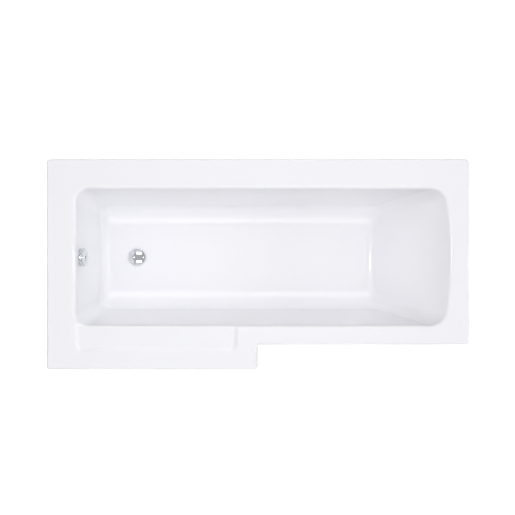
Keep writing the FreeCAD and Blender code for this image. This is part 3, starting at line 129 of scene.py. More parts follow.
class MouldingSizes(PropertyGroup):
    """Sizes of the acrylic moulding"""

    narrow_width: length("Narrow width", "Width of the rim past the step", 0.750)
    shower_length: length("Shower length", "Length of the wide end", 0.850)
    foot_land: length("Foot land", "Rim between the waste end and the basin", 0.118)
    head_land: length("Head land", "Rim between the head end and the basin", 0.074)
    back_land: length("Back land", "Rim between the wall side and the basin", 0.122)
    front_land: length("Front land", "Rim between the narrow front and the basin", 0.078)
    foot_draft: angle("Foot draft", "Slope of the foot wall", 7)
    side_draft: angle("Side draft", "Slope of the long walls", 9)
    head_draft: angle("Head draft", "Slope of the backrest", 34)
    foot_bend: length("Foot bend", "Radius between the foot wall and the floor", 0.045)
    side_bend: length("Side bend", "Radius between the long walls and the floor", 0.092)
    head_bend: length("Head bend", "Radius between the backrest and the floor", 0.060)
    foot_corner: length("Foot corner", "Corner radius at the waste end, at the rim", 0.052)
    head_corner: length("Head corner", "Corner radius at the head end, at the rim", 0.065)
    floor_foot_corner: length("Floor foot corner", "Corner radius at the waste end, at the floor", 0.048)
    floor_head_corner: length("Floor head corner", "Corner radius at the head end, at the floor", 0.045)
    head_bow: length("Head bow", "How far the backrest's edge bulges, at the rim", 0.027)
    floor_bow: length("Floor bow", "How far the backrest's edge bulges, at the floor", 0.006)
    edge_roll: length("Edge roll", "Radius of the basin's edge", 0.015)
    shelf_depth: length("Shelf depth", "How far the shelf lies under the rim", 0.007)
    shelf_slope: angle("Shelf slope", "Slope of the shelf's sides", 36)
    shelf_blend: length("Shelf blend", "Radius of the bends along the shelf's sides", 0.016)
    shelf_corner: length("Shelf corner", "Corner radius of the shelf", 0.026)
    shelf_end_land: length("Shelf end land", "Rim between the shelf and the step", 0.082)
    rim_corner: length("Rim corner", "Radius of the rim's outer corners", 0.014)
    step_corner: length("Step corner", "Radius of the inner corner of the step", 0.009)
    rim_edge: length("Rim edge", "Radius between the rim and its lip", 0.007)
    lip_depth: length("Lip depth", "How far the lip hangs down", 0.042)
    lip_draft: angle("Lip draft", "Slope of the lip", 4)
    acrylic: length("Acrylic", "Thickness of the sheet", 0.005)
    waste_hole: length("Waste hole", "Radius of the hole in the floor", 0.027)
    dish_radius: length("Dish radius", "Radius of the sunk ring round the waste", 0.040)
    dish_edge: length("Dish edge", "Width of the sunk ring's sloping edge", 0.005)
    dish_depth: length("Dish depth", "Depth of the sunk ring", 0.002)
    overflow_hole: length("Overflow hole", "Radius of the hole in the foot wall", 0.027)


class FinishColours(PropertyGroup):
    """Colours of the finishes, as sRGB hex values"""

    acrylic: colour("Acrylic", "White of the moulding", "#F8F8FB")
    acrylic_thin: colour("Thin acrylic", "White of the moulding where the sheet stretched", "#F5F5F9")
    resin: colour("Resin", "Laminating resin on the underside", "#B8B19A")
    strand: colour("Strand", "Chopped glass strands in the resin", "#DDDACF")
    chip_pale: colour("Pale chip", "Palest flakes of the chipboard", "#C9A877")
    chip_dark: colour("Dark chip", "Darkest flakes of the chipboard", "#7E5C38")
    early_wood: colour("Early wood", "Pale part of the timber's rings", "#DDBF92")
    late_wood: colour("Late wood", "Dark part of the timber's rings", "#B58A56")
    spangle_dark: colour("Dark spangle", "Darkest crystals of the hot-dipped zinc", "#AEB4B8")
    spangle_pale: colour("Pale spangle", "Palest crystals of the hot-dipped zinc", "#C8CCCF")
    zinc: colour("Zinc plate", "Bright zinc on screws, nuts and studs", "#C4C6C7")
    zinc_dull: colour("Dull zinc", "Zinc plate where it has dulled", "#AFB2B4")
    chrome: colour("Chrome", "Chrome plate", "#E3E5E7")
    chrome_haze: colour("Chrome haze", "Chrome plate under dried water", "#DCDFE2")
    brass: colour("Brass", "Turned brass", "#C9A862")
    brass_dull: colour("Dull brass", "Turned brass where it has tarnished", "#A98A4C")
    white_moulding: colour("White plastic", "Moulded fittings", "#E7E6E1")
    white_cloud: colour("White plastic cloud", "Cloudier patches of the moulded fittings", "#DFDED8")
    black_moulding: colour("Black plastic", "Moulded feet and clips", "#1D1D1F")
    black_cloud: colour("Black plastic cloud", "Paler patches of the feet and clips", "#262629")
    grey_tube: colour("Grey plastic", "Guide tube", "#5A5D61")
    grey_cloud: colour("Grey plastic cloud", "Paler patches of the guide tube", "#64676B")
    rubber: colour("Rubber", "Seals", "#191919")
    bloom: colour("Bloom", "Dusty bloom on the seals", "#2A2A2A")
    paper: colour("Studio paper", "Floor of the studio", "#F2F2F2")


class Basin:
    """The basin's form, worked out from the moulding's sizes."""

    def __init__(self, sizes):
        self.sizes = sizes
        self.rim = shell_high.z
        self.floor = shell_low.z + sizes.acrylic
        self.depth = self.rim - self.floor
        self.foot = shell_low.x + sizes.foot_land
        self.head = shell_high.x - sizes.head_land
        self.back = shell_high.y - sizes.back_land
        self.narrow_front = shell_high.y - sizes.narrow_width
        self.front = self.narrow_front + sizes.front_land
        self.centre = (self.front + self.back) / 2
        self.step = shell_low.x + sizes.shower_length
        self.shelf = (
            self.foot,
            shell_low.y + sizes.front_land,
            self.step - sizes.shelf_end_land,
            self.front + 2 * sizes.shelf_corner,
        )

    def inset(self, draft, bend, height):
        """How far inside the rim's line a wall stands at a height over the floor."""
        if height > bend * (1 - math.sin(draft)):
            return (self.depth - height) * math.tan(draft)
        floor_inset = (self.depth - bend) * math.tan(draft) + bend / math.cos(draft)
        return floor_inset - math.sqrt(bend**2 - (bend - height) ** 2)

    def outline(self, height):
        """Points of the outline at a height over the floor, counter-clockwise, and their outward normals."""
        sizes = self.sizes
        level = height / self.depth
        west = self.foot + self.inset(sizes.foot_draft, sizes.foot_bend, height)
        side = self.inset(sizes.side_draft, sizes.side_bend, height)
        south, north = self.front + side, self.back - side
        east = self.head - self.inset(sizes.head_draft, sizes.head_bend, height)
        near = sizes.floor_foot_corner + (sizes.foot_corner - sizes.floor_foot_corner) * level
        far = sizes.floor_head_corner + (sizes.head_corner - sizes.floor_head_corner) * level
        rise = sizes.floor_bow + (sizes.head_bow - sizes.floor_bow) * level
        half = (self.back - self.front) / 2
        bow = (half**2 + rise**2) / (2 * rise)
        bow_x = east - bow
        corner_y = north - far - self.centre
        corner_x = bow_x + math.sqrt((bow - far) ** 2 - corner_y**2)
        turn = math.atan2(corner_y, corner_x - bow_x)
        left = west + near
        shelf_end = self.shelf[2]
        fine = sizes.shelf_corner + sizes.shelf_blend
        points, normals = [], []

        def line(start, end, normal, steps):
            for i in range(steps):
                points.append(Vector(start).lerp(Vector(end), i / steps))
                normals.append(Vector(normal))

        def arc(centre, radius, first, last, steps):
            for i in range(steps):
                way = first + (last - first) * i / steps
                normals.append(Vector((math.cos(way), math.sin(way), 0)))
                points.append(Vector(centre) + normals[-1] * radius)

        z = self.floor + height
        front, back = (0, -1, 0), (0, 1, 0)
        line((west, north - near, z), (west, south + near, z), (-1, 0, 0), FOOT_STEPS)
        arc((left, south + near, z), near, math.pi, 1.5 * math.pi, FRONT_CORNER_STEPS)
        line((left, south, z), (shelf_end - fine, south, z), front, FRONT_STEPS)
        line((shelf_end - fine, south, z), (shelf_end + fine, south, z), front, SHELF_END_STEPS)
        line((shelf_end + fine, south, z), (corner_x, south, z), front, FRONT_STEPS)
        arc((corner_x, south + far, z), far, -math.pi / 2, -turn, HEAD_CORNER_STEPS)
        arc((bow_x, self.centre, z), bow, -turn, turn, BOW_STEPS)
        arc((corner_x, north - far, z), far, turn, math.pi / 2, HEAD_CORNER_STEPS)
        line((corner_x, north, z), (left, north, z), back, BACK_STEPS)
        arc((left, north - near, z), near, math.pi / 2, math.pi, BACK_CORNER_STEPS)
        return points, normals

    def shelf_drop(self, spot):
        """How far the rim's surface lies under its top at a spot, on and around the shelf."""
        sizes = self.sizes
        west, south, east, north = self.shelf
        across = abs(spot.x - (west + east) / 2) - (east - west) / 2 + sizes.shelf_corner
        along = abs(spot.y - (south + north) / 2) - (north - south) / 2 + sizes.shelf_corner
        outside = math.hypot(max(across, 0), max(along, 0)) + min(max(across, along), 0)
        inside = sizes.shelf_corner - outside
        blend, slope = sizes.shelf_blend, sizes.shelf_slope
        overlap = blend * math.tan(slope / 2)
        run = sizes.shelf_depth / math.tan(slope)
        bent = blend * math.sin(slope)
        if inside <= -overlap:
            return 0
        if inside >= run + overlap:
            return sizes.shelf_depth
        if inside < bent - overlap:
            return blend - math.sqrt(blend**2 - (inside + overlap) ** 2)
        if inside > run + overlap - bent:
            return sizes.shelf_depth - blend + math.sqrt(blend**2 - (run + overlap - inside) ** 2)
        return inside * math.tan(slope)

    def roll(self):
        """Outlines of the rolled edge, from the walls up to the rim, and the edge's outward normals."""
        radius = self.sizes.edge_roll
        tops, normals = self.outline(self.depth)
        belows, _ = self.outline(self.depth - self.sizes.side_bend)
        loops = [[] for _ in range(ROLL_STEPS + 1)]
        for top, below, normal in zip(tops, belows, normals):
            down = (below - top) / (top.z - below.z)
            turn = math.pi / 2 - math.atan(-down.dot(normal))
            reach = radius * math.tan(turn / 2)
            edge = top + down * self.shelf_drop(top + normal * reach)
            for i, loop in enumerate(loops):
                way = turn * (1 - i / ROLL_STEPS)
                out = reach - radius * math.sin(way)
                loop.append(edge + normal * out + Vector((0, 0, radius * (math.cos(way) - 1))))
        return loops, normals

    def apron_reach(self, spot, normal):
        """How far out from the basin's edge the rim has to follow the shelf, along a normal."""
        overlap = self.sizes.shelf_blend * math.tan(self.sizes.shelf_slope / 2)
        west, south, east, north = self.shelf
        margin = APRON_MARGIN
        if not west - overlap < spot.x < east + overlap + margin or spot.y > north:
            return margin
        reaches = []
        if normal.x < 0:
            reaches.append((west - overlap - margin - spot.x) / normal.x)
        if normal.y < 0:
            reaches.append((south - overlap - margin - spot.y) / normal.y)
        return max(margin, min(reaches, default=margin))


def outline_edges(bm, points):
    """A closed loop of edges through points."""
    verts = [bm.verts.new(point) for point in points]
    return [bm.edges.new((verts[i - 1], verts[i])) for i in range(len(verts))]


def bridge(bm, *loops):
    """Faces between each loop of edges and the next one."""
    for first, second in zip(loops, loops[1:]):
        bmesh.ops.bridge_loops(bm, edges=first + second)


def overflow_window(bm, wall_faces, radius):
    """Cuts the overflow's round hole into the flat foot wall."""
    half = radius * WINDOW_WIDTH
    inner = set()
    for face in wall_faces:
        away = face.calc_center_median() - overflow
        if abs(away.y) < half and away.x < half and face.normal.x > WINDOW_FACING:
            inner.add(face)
    border = [e for e in {e for f in inner for e in f.edges} if len(inner.intersection(e.link_faces)) == 1]
    bmesh.ops.delete(bm, geom=list(inner), context="FACES")
    place = Matrix.Translation(overflow) @ overflow_axis.to_track_quat("Z", "Y").to_matrix().to_4x4()
    ring = bmesh.ops.create_circle(bm, radius=radius, segments=WINDOW_STEPS, matrix=place)
    ring_edges = list({e for v in ring["verts"] for e in v.link_edges})
    live = [e for e in border if e.is_valid]
    bmesh.ops.triangle_fill(bm, use_beauty=True, edges=live + ring_edges)


def rim_plate(bm, basin):
    """The rim's L-shaped outline with its lip and rounded edge; returns the edges round its flat top."""
    sizes = basin.sizes
    low, high, z = shell_low, shell_high, shell_high.z
    corners = [
        (low.x, high.y, z),
        (low.x, low.y, z),
        (basin.step, low.y, z),
        (basin.step, basin.narrow_front, z),
        (high.x, basin.narrow_front, z),
        (high.x, high.y, z),
    ]
    plate = bm.faces.new([bm.verts.new(corner) for corner in corners])
    inner = plate.verts[3]
    outer = [v for v in plate.verts if v != inner]
    rounding = {"affect": "VERTICES", "segments": RIM_STEPS, "profile": 0.5, "material": -1}
    bmesh.ops.bevel(bm, geom=outer, offset=sizes.rim_corner, offset_type="OFFSET", **rounding)
    bmesh.ops.bevel(bm, geom=[inner], offset=sizes.step_corner, offset_type="OFFSET", **rounding)
    plate = max(bm.faces, key=lambda f: f.calc_area())
    taper = sizes.lip_depth * math.tan(sizes.lip_draft)
    even = {"use_boundary": True, "use_even_offset": True}
    sides = bmesh.ops.inset_region(bm, faces=[plate], thickness=taper, **even)["faces"]
    bottom = {v for f in sides for v in f.verts} - set(plate.verts)
    bmesh.ops.translate(bm, verts=list(bottom), vec=(0, 0, -sizes.lip_depth))
    tangent = sizes.rim_edge * math.tan((math.pi / 2 - sizes.lip_draft) / 2)
    bmesh.ops.bevel(
        bm,
        geom=list(plate.edges),
        offset=tangent,
        offset_type="OFFSET",
        affect="EDGES",
        segments=RIM_STEPS,
        profile=0.5,
        material=-1,
    )
    top = max(bm.faces, key=lambda f: f.calc_area())
    edges = list(top.edges)
    bmesh.ops.delete(bm, geom=[top], context="FACES_ONLY")
    return edges


def moulding_mesh(sizes):
    """The visible skin of the moulding, from the waste hole's edge out to the bottom of the lip."""
    basin = Basin(sizes)
    bm = bmesh.new()
    rim_edges = rim_plate(bm, basin)

    # floor and bends
    floor_points, _ = basin.outline(0)
    ways = [(point - waste).to_2d().normalized().to_3d() for point in floor_points]
    centre = Vector((waste.x, waste.y, basin.floor))
    sunk = centre - Vector((0, 0, sizes.dish_depth))
    bend_top = sizes.side_bend * (1 - math.sin(sizes.side_draft))
    bends = int((math.pi / 2 - sizes.side_draft) / BEND_STEP)
    heights = [sizes.side_bend * (1 - math.cos(i * BEND_STEP)) for i in range(1, bends)] + [bend_top]
    loops = [
        [sunk + way * sizes.waste_hole for way in ways],
        [sunk + way * sizes.dish_radius for way in ways],
        [centre + way * (sizes.dish_radius + sizes.dish_edge) for way in ways],
        floor_points,
    ]
    loops += [basin.outline(height)[0] for height in heights]

    # straight walls, with one row for the overflow, and the rolled edge
    half_row = sizes.overflow_hole * WINDOW_HEIGHT
    lower, upper = [basin.outline(overflow.z + way * half_row - basin.floor)[0] for way in (-1, 1)]
    roll, normals = basin.roll()
    edge_loops = [outline_edges(bm, loop) for loop in loops + [lower]]
    bridge(bm, *edge_loops)
    before = set(bm.faces)
    upper_edges = outline_edges(bm, upper)
    bridge(bm, edge_loops[-1], upper_edges)
    wall_row = [f for f in bm.faces if f not in before]
    roll_edges = [outline_edges(bm, loop) for loop in roll]
    bridge(bm, upper_edges, *roll_edges)

    # the rim beside the basin, which follows the shelf
    before = set(bm.edges)
    apron = [p + n * basin.apron_reach(p, n) for p, n in zip(roll[-1], normals)]
    for point in apron:
        point.z = basin.rim - basin.shelf_drop(point)
    apron_edges = outline_edges(bm, apron)
    bridge(bm, roll_edges[-1], apron_edges)
    across = [e for e in bm.edges if e not in before and e not in apron_edges]
    wide = [e for e in across if e.calc_length() > APRON_WIDE]
    cut = bmesh.ops.subdivide_edges(bm, edges=wide, cuts=APRON_CUTS, use_grid_fill=True)
    for vert in {v for v in cut["geom_inner"] if isinstance(v, bmesh.types.BMVert)}:
        vert.co.z = basin.rim - basin.shelf_drop(vert.co)
    bmesh.ops.triangle_fill(bm, use_beauty=True, edges=rim_edges + apron_edges)

    bm.normal_update()
    overflow_window(bm, wall_row, sizes.overflow_hole)
    bmesh.ops.remove_doubles(bm, verts=bm.verts, dist=JOIN)
    bmesh.ops.recalc_face_normals(bm, faces=bm.faces)
    bm.normal_update()
    floor = min(bm.faces, key=lambda f: (f.calc_center_median() - waste).length)
    if floor.normal.z < 0:
        bmesh.ops.reverse_faces(bm, faces=bm.faces)
    mesh = bpy.data.meshes.new("moulded_shell")
    bm.to_mesh(mesh)
    bm.free()
    return mesh


def drawn(bm, loop, centre, radius, height, corners=None):
    """Draws a loop of edges on to a new one round a centre: a circle or, with corners, a polygon."""
    new = bmesh.ops.extrude_edge_only(bm, edges=loop)["geom"]
    for vert in [v for v in new if isinstance(v, bmesh.types.BMVert)]:
        out = (vert.co - centre).to_2d().normalized()
        reach = radius
        if corners:
            half = math.pi / corners
            reach *= math.cos(half) / math.cos(math.atan2(out.y, out.x) % (2 * half) - half)
        vert.co = (centre.x + reach * out.x, centre.y + reach * out.y, height)
    return [e for e in new if isinstance(e, bmesh.types.BMEdge) and e.is_boundary]


def stud_mesh(name, flats):
    """A stud for a plain CAD one, with a hexagon that stands on a height and the thread above it."""
    low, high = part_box(name)
    centre = (low + high) / 2
    corner = (high.x - low.x) / 2
    start = flats + HEXAGON_HEIGHT
    root = STUD_RADIUS - THREAD_DEPTH
    turns = math.ceil((high.z - start) / THREAD_PITCH) + 1

    # one turn's section, swept up round the axis until the turns join, and cut off flat at both ends
    bm = bmesh.new()
    verts = []
    for reach, turn in [(root, -1), (STUD_RADIUS, -0.5), (root, 0)]:
        verts.append(bm.verts.new((centre.x + reach, centre.y, start + turn * THREAD_PITCH)))
    edges = [bm.edges.new(pair) for pair in zip(verts, verts[1:])]
    bmesh.ops.spin(
        bm,
        geom=verts + edges,
        cent=centre,
        axis=(0, 0, 1),
        dvec=(0, 0, THREAD_PITCH / THREAD_STEPS),
        angle=2 * math.pi * turns,
        steps=THREAD_STEPS * turns,
    )
    for vert in bm.verts:
        if not start < vert.co.z < high.z:
            level = start if vert.co.z <= start else high.z
            out = (vert.co - centre).to_2d().normalized() * root
            vert.co = (centre.x + out.x, centre.y + out.y, level)
    bmesh.ops.remove_doubles(bm, verts=bm.verts, dist=JOIN)

    # the hexagon and the shank under it
    ends = [e for e in bm.edges if e.is_boundary]
    relief = [e for e in ends if e.verts[0].co.z < centre.z]
    tip = [e for e in ends if e.verts[0].co.z > centre.z]
    over = drawn(bm, relief, centre, corner, start, HEXAGON_CORNERS)
    under = drawn(bm, over, centre, corner, flats, HEXAGON_CORNERS)
    neck = drawn(bm, under, centre, STUD_RADIUS, flats)
    shank = drawn(bm, neck, centre, STUD_RADIUS, low.z)
    for cap in (tip, shank):
        bmesh.ops.edgeloop_fill(bm, edges=cap)
    bmesh.ops.recalc_face_normals(bm, faces=bm.faces)
    mesh = bpy.data.meshes.new(name.replace("foot", "threaded"))
    bm.to_mesh(mesh)
    bm.free()
    return mesh


# Finishes


# A mix node's sockets for colours, which have the same names as those for numbers.
FIRST_COLOUR = 6
SECOND_COLOUR = 7
MIXED_COLOUR = 2

# The middle of a pattern's values, over which a finish goes from its shiniest to its dullest.
MIDDLE = {"From Min": 0.3, "From Max": 0.7}


def linear(hex_colour):
    """An sRGB hex colour in linear light, with a full alpha."""
    channels = [int(hex_colour[i : i + 2], 16) / 255 for i in (1, 3, 5)]
    return [c / 12.92 if c <= 0.04045 else ((c + 0.055) / 1.055) ** 2.4 for c in channels] + [1]


def add(tree, kind, settings=None, sources=None):
    """Adds a node with its settings and its links from sources, and returns its outputs."""
    node = tree.nodes.new(kind)
    for name, setting in (settings or {}).items():
        if isinstance(name, int) or name in node.inputs:
            node.inputs[name].default_value = setting
        else:
            setattr(node, name, setting)
    for name, source in (sources or {}).items():
        tree.links.new(source, node.inputs[name])
    return node.outputs


def empty_tree(owner):
    """The node tree of a material or a world, with nothing in it."""
    owner.use_nodes = True
    owner.node_tree.nodes.clear()
    return owner.node_tree


def start_finish(name):
    """A new material, its empty tree, and the source of the coordinates that its patterns lie on."""
    material = bpy.data.materials.new(name)
    tree = empty_tree(material)
    place = {"Vector": add(tree, "ShaderNodeTexCoord")["Object"]}
    return material, tree, place


def end_finish(tree, settings, sources):
    """Ends a finish with its shader."""
    shader = add(tree, "ShaderNodeBsdfPrincipled", settings, sources)["BSDF"]
    add(tree, "ShaderNodeOutputMaterial", sources={"Surface": shader})


def tones(first, second):
    """Settings that mix two hex colours."""
    return {"data_type": "RGBA", FIRST_COLOUR: linear(first), SECOND_COLOUR: linear(second)}


def patches(tree, place, size, detail, colours, dullness):
    """Sources of a colour and a roughness that change together, in patches about a size across."""
    noise = add(tree, "ShaderNodeTexNoise", {"Scale": 1 / size, "Detail": detail}, place)["Fac"]
    colour_here = add(tree, "ShaderNodeMix", tones(*colours), {"Factor": noise})[MIXED_COLOUR]
    limits = {**MIDDLE, "To Min": dullness[0], "To Max": dullness[1]}
    roughness_here = add(tree, "ShaderNodeMapRange", limits, {"Value": noise})["Result"]
    return {"Base Color": colour_here, "Roughness": roughness_here}


def vacuum_formed_acrylic(colours):
    # Cast acrylic, vacuum-formed: a deep, even gloss with a faint long waviness where the sheet stretched.
    material, tree, place = start_finish("vacuum_formed_acrylic")
    stretch = add(tree, "ShaderNodeTexNoise", {"Scale": 1 / (400 * MILLIMETRE)}, place)["Fac"]
    whites = tones(colours.acrylic, colours.acrylic_thin)
    white = add(tree, "ShaderNodeMix", whites, {"Factor": stretch})[MIXED_COLOUR]
    polish = add(tree, "ShaderNodeTexNoise", {"Scale": 1 / (20 * MILLIMETRE)}, place)["Fac"]
    limits = {**MIDDLE, "To Min": 0.05, "To Max": 0.08}
    gloss = add(tree, "ShaderNodeMapRange", limits, {"Value": polish})["Result"]
    waves = add(tree, "ShaderNodeTexNoise", {"Scale": 1 / (180 * MILLIMETRE), "Detail": 1}, place)["Fac"]
    relief = {"Strength": 0.03, "Distance": 2 * MILLIMETRE}
    surface = add(tree, "ShaderNodeBump", relief, {"Height": waves})["Normal"]
    end_finish(tree, {"IOR": 1.49}, {"Base Color": white, "Roughness": gloss, "Normal": surface})
    return material


# Bundles of glass strands, and their turns about X, Y and Z: two lie flat, two slant in the long walls and
# two run across the bath.
STRAND_WIDTH = 2 * MILLIMETRE
STRAND_LENGTH = 30 * MILLIMETRE
STRAND_TURNS = [(0, 0, 0.5), (0, 0, 2.2), (0, 0.6, 0.1), (0, 2.4, 0.1), (0.7, 0, 1.5), (2.3, 0, 1.5)]


def chopped_glass_fibre(colours):
    # Polyester resin sprayed with chopped glass: bundles of strands lie one over another under a lumpy,
    # half-gloss skin.
    material, tree, place = start_finish("chopped_glass_fibre")
    ridges = []
    for turn in STRAND_TURNS:
        laying = {"vector_type": "TEXTURE", "Scale": (STRAND_LENGTH / STRAND_WIDTH, 1, 1), "Rotation": turn}
        laid = {"Vector": add(tree, "ShaderNodeMapping", laying, place)["Vector"]}
        bundles = add(tree, "ShaderNodeTexNoise", {"Scale": 1 / STRAND_WIDTH, "Detail": 1}, laid)["Fac"]
        limits = {"From Min": 0.58, "From Max": 0.68}
        ridges.append(add(tree, "ShaderNodeMapRange", limits, {"Value": bundles})["Result"])
    strands = ridges[0]
    for ridge in ridges[1:]:
        strands = add(tree, "ShaderNodeMath", {"operation": "MAXIMUM"}, {0: strands, 1: ridge})["Value"]
    ambers = tones(colours.resin, colours.strand)
    amber = add(tree, "ShaderNodeMix", ambers, {"Factor": strands})[MIXED_COLOUR]
    lumps = add(tree, "ShaderNodeTexNoise", {"Scale": 1 / (30 * MILLIMETRE), "Detail": 4}, place)["Fac"]
    height = add(tree, "ShaderNodeMath", {"operation": "ADD"}, {0: strands, 1: lumps})["Value"]
    relief = {"Strength": 0.6, "Distance": 1.2 * MILLIMETRE}
    surface = add(tree, "ShaderNodeBump", relief, {"Height": height})["Normal"]
    end_finish(tree, {"IOR": 1.55, "Roughness": 0.42}, {"Base Color": amber, "Normal": surface})
    return material


def raw_chipboard(colours):
    # Pressed chipboard: flakes of about 5 mm in mixed browns, with open grain between them.
    material, tree, place = start_finish("raw_chipboard")
    flakes = add(tree, "ShaderNodeTexVoronoi", {"Scale": 1 / (5 * MILLIMETRE)}, place)
    shade = add(tree, "ShaderNodeSeparateColor", sources={"Color": flakes["Color"]})["Red"]
    browns = tones(colours.chip_pale, colours.chip_dark)
    brown = add(tree, "ShaderNodeMix", browns, {"Factor": shade})[MIXED_COLOUR]
    relief = {"Strength": 0.4, "Distance": 0.6 * MILLIMETRE}
    surface = add(tree, "ShaderNodeBump", relief, {"Height": flakes["Distance"]})["Normal"]
    end_finish(tree, {"Roughness": 0.8}, {"Base Color": brown, "Normal": surface})
    return material


# A wave texture of this scale has bands one unit apart.
WAVE_SCALE = 0.314


def sawn_softwood(colours, along):
    # Sawn pine: rings about 5 mm apart that run along the length. The fibres from the saw are drawn 1.2 mm
    # wide, coarser than they are, so that they show.
    material, tree, place = start_finish(f"sawn_softwood_along_{along.lower()}")
    stretch = (30, 1, 1) if along == "X" else (1, 30, 1)
    drawn_out = {"vector_type": "TEXTURE", "Scale": stretch}
    grain = {"Vector": add(tree, "ShaderNodeMapping", drawn_out, place)["Vector"]}
    growth = {
        "bands_direction": "Y" if along == "X" else "X",
        "Scale": WAVE_SCALE / (5 * MILLIMETRE),
        "Distortion": 6,
        "Detail": 2,
        "Detail Scale": 0.6,
    }
    rings = add(tree, "ShaderNodeTexWave", growth, grain)["Fac"]
    woods = tones(colours.early_wood, colours.late_wood)
    wood = add(tree, "ShaderNodeMix", woods, {"Factor": rings})[MIXED_COLOUR]
    fibres = add(tree, "ShaderNodeTexNoise", {"Scale": 1 / (1.2 * MILLIMETRE)}, grain)["Fac"]
    relief = {"Strength": 0.35, "Distance": 0.6 * MILLIMETRE}
    surface = add(tree, "ShaderNodeBump", relief, {"Height": fibres})["Normal"]
    end_finish(tree, {"Roughness": 0.72}, {"Base Color": wood, "Normal": surface})
    return material


def galvanised_steel(colours):
    # Hot-dipped sheet: zinc crystals of about 12 mm, each with its own grey and its own dullness.
    material, tree, place = start_finish("galvanised_steel")
    spangle = add(tree, "ShaderNodeTexVoronoi", {"Scale": 1 / (12 * MILLIMETRE)}, place)["Color"]
    shade = add(tree, "ShaderNodeSeparateColor", sources={"Color": spangle})["Green"]
    greys = tones(colours.spangle_dark, colours.spangle_pale)
    grey = add(tree, "ShaderNodeMix", greys, {"Factor": shade})[MIXED_COLOUR]
    limits = {**MIDDLE, "To Min": 0.34, "To Max": 0.52}
    dullness = add(tree, "ShaderNodeMapRange", limits, {"Value": shade})["Result"]
    ripples = add(tree, "ShaderNodeTexNoise", {"Scale": 1 / (4 * MILLIMETRE), "Detail": 3}, place)["Fac"]
    relief = {"Strength": 0.12, "Distance": 0.4 * MILLIMETRE}
    surface = add(tree, "ShaderNodeBump", relief, {"Height": ripples})["Normal"]
    end_finish(tree, {"Metallic": 1}, {"Base Color": grey, "Roughness": dullness, "Normal": surface})
    return material


def bright_zinc(colours):
    # Bright zinc plate on steel: grey with a soft shine that dulls in patches of a few millimetres.
    material, tree, place = start_finish("bright_zinc")
    greys = (colours.zinc, colours.zinc_dull)
    end_finish(tree, {"Metallic": 1}, patches(tree, place, 6 * MILLIMETRE, 3, greys, (0.22, 0.36)))
    return material


def chrome_plate(colours):
    # Polished chrome on brass: mirror bright, with the faint haze of dried water.
    material, tree, place = start_finish("chrome_plate")
    silvers = (colours.chrome, colours.chrome_haze)
    end_finish(tree, {"Metallic": 1}, patches(tree, place, 15 * MILLIMETRE, 4, silvers, (0.03, 0.08)))
    return material


def turned_brass(colours):
    # Turned brass: yellow metal, dulled by handling. Its tool marks are drawn about a millimetre wide,
    # coarser than they are, so that they show.
    material, tree, place = start_finish("turned_brass")
    tarnish = add(tree, "ShaderNodeTexNoise", {"Scale": 1 / (10 * MILLIMETRE)}, place)["Fac"]
    yellows = tones(colours.brass, colours.brass_dull)
    yellow = add(tree, "ShaderNodeMix", yellows, {"Factor": tarnish})[MIXED_COLOUR]
    marks = add(tree, "ShaderNodeTexNoise", {"Scale": 1 / MILLIMETRE, "Detail": 1}, place)["Fac"]
    limits = {**MIDDLE, "To Min": 0.2, "To Max": 0.34}
    dullness = add(tree, "ShaderNodeMapRange", limits, {"Value": marks})["Result"]
    end_finish(tree, {"Metallic": 1}, {"Base Color": yellow, "Roughness": dullness})
    return material


def moulded_plastic(name, shades, roughness, grain, depth):
    # Injection-moulded polypropylene: waxy and slightly cloudy. The mould's grain is drawn coarser than
    # it is, so that it shows.
    material, tree, place = start_finish(name)
    dullness = (roughness - 0.05, roughness + 0.06)
    sources = patches(tree, place, 30 * MILLIMETRE, 3, shades, dullness)
    texture = add(tree, "ShaderNodeTexNoise", {"Scale": 1 / grain}, place)["Fac"]
    relief = {"Strength": 0.25, "Distance": depth}
    sources["Normal"] = add(tree, "ShaderNodeBump", relief, {"Height": texture})["Normal"]
    end_finish(tree, {"IOR": 1.49}, sources)
    return material


def moulded_rubber(colours):
    # Synthetic rubber: near black and matt, with a dusty bloom.
    material, tree, place = start_finish("moulded_rubber")
    blacks = (colours.rubber, colours.bloom)
    end_finish(tree, {"IOR": 1.52}, patches(tree, place, 8 * MILLIMETRE, 4, blacks, (0.6, 0.85)))
    return material


def dress(material, names):
    """Gives CAD nodes a finish, and smooths their round faces."""
    for name in names:
        node = nodes[name]
        node.data.materials.clear()
        node.data.materials.append(material)
        node.data.polygons.foreach_set("use_smooth", [True] * len(node.data.polygons))
        join = node.modifiers.new("Join", "WELD")
        join.merge_threshold = CAD_JOIN
        soften(node, PIECE_SHARP)


def soften(piece, sharp):
    """Modifiers that shade a piece smoothly between edges sharper than an angle."""
    split = piece.modifiers.new("Sharp edges", "EDGE_SPLIT")
    split.split_angle = sharp
    normals = piece.modifiers.new("Flat faces", "WEIGHTED_NORMAL")
    normals.keep_sharp = True


def new_piece(scene, mesh, material, node, body):
    """A piece with a mesh and a finish that stands for a CAD node and rides on a body."""
    mesh.materials.append(material)
    piece = bpy.data.objects.new(mesh.name, mesh)
    scene.collection.objects.link(piece)
    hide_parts(node)
    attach(piece, body)
    return piece


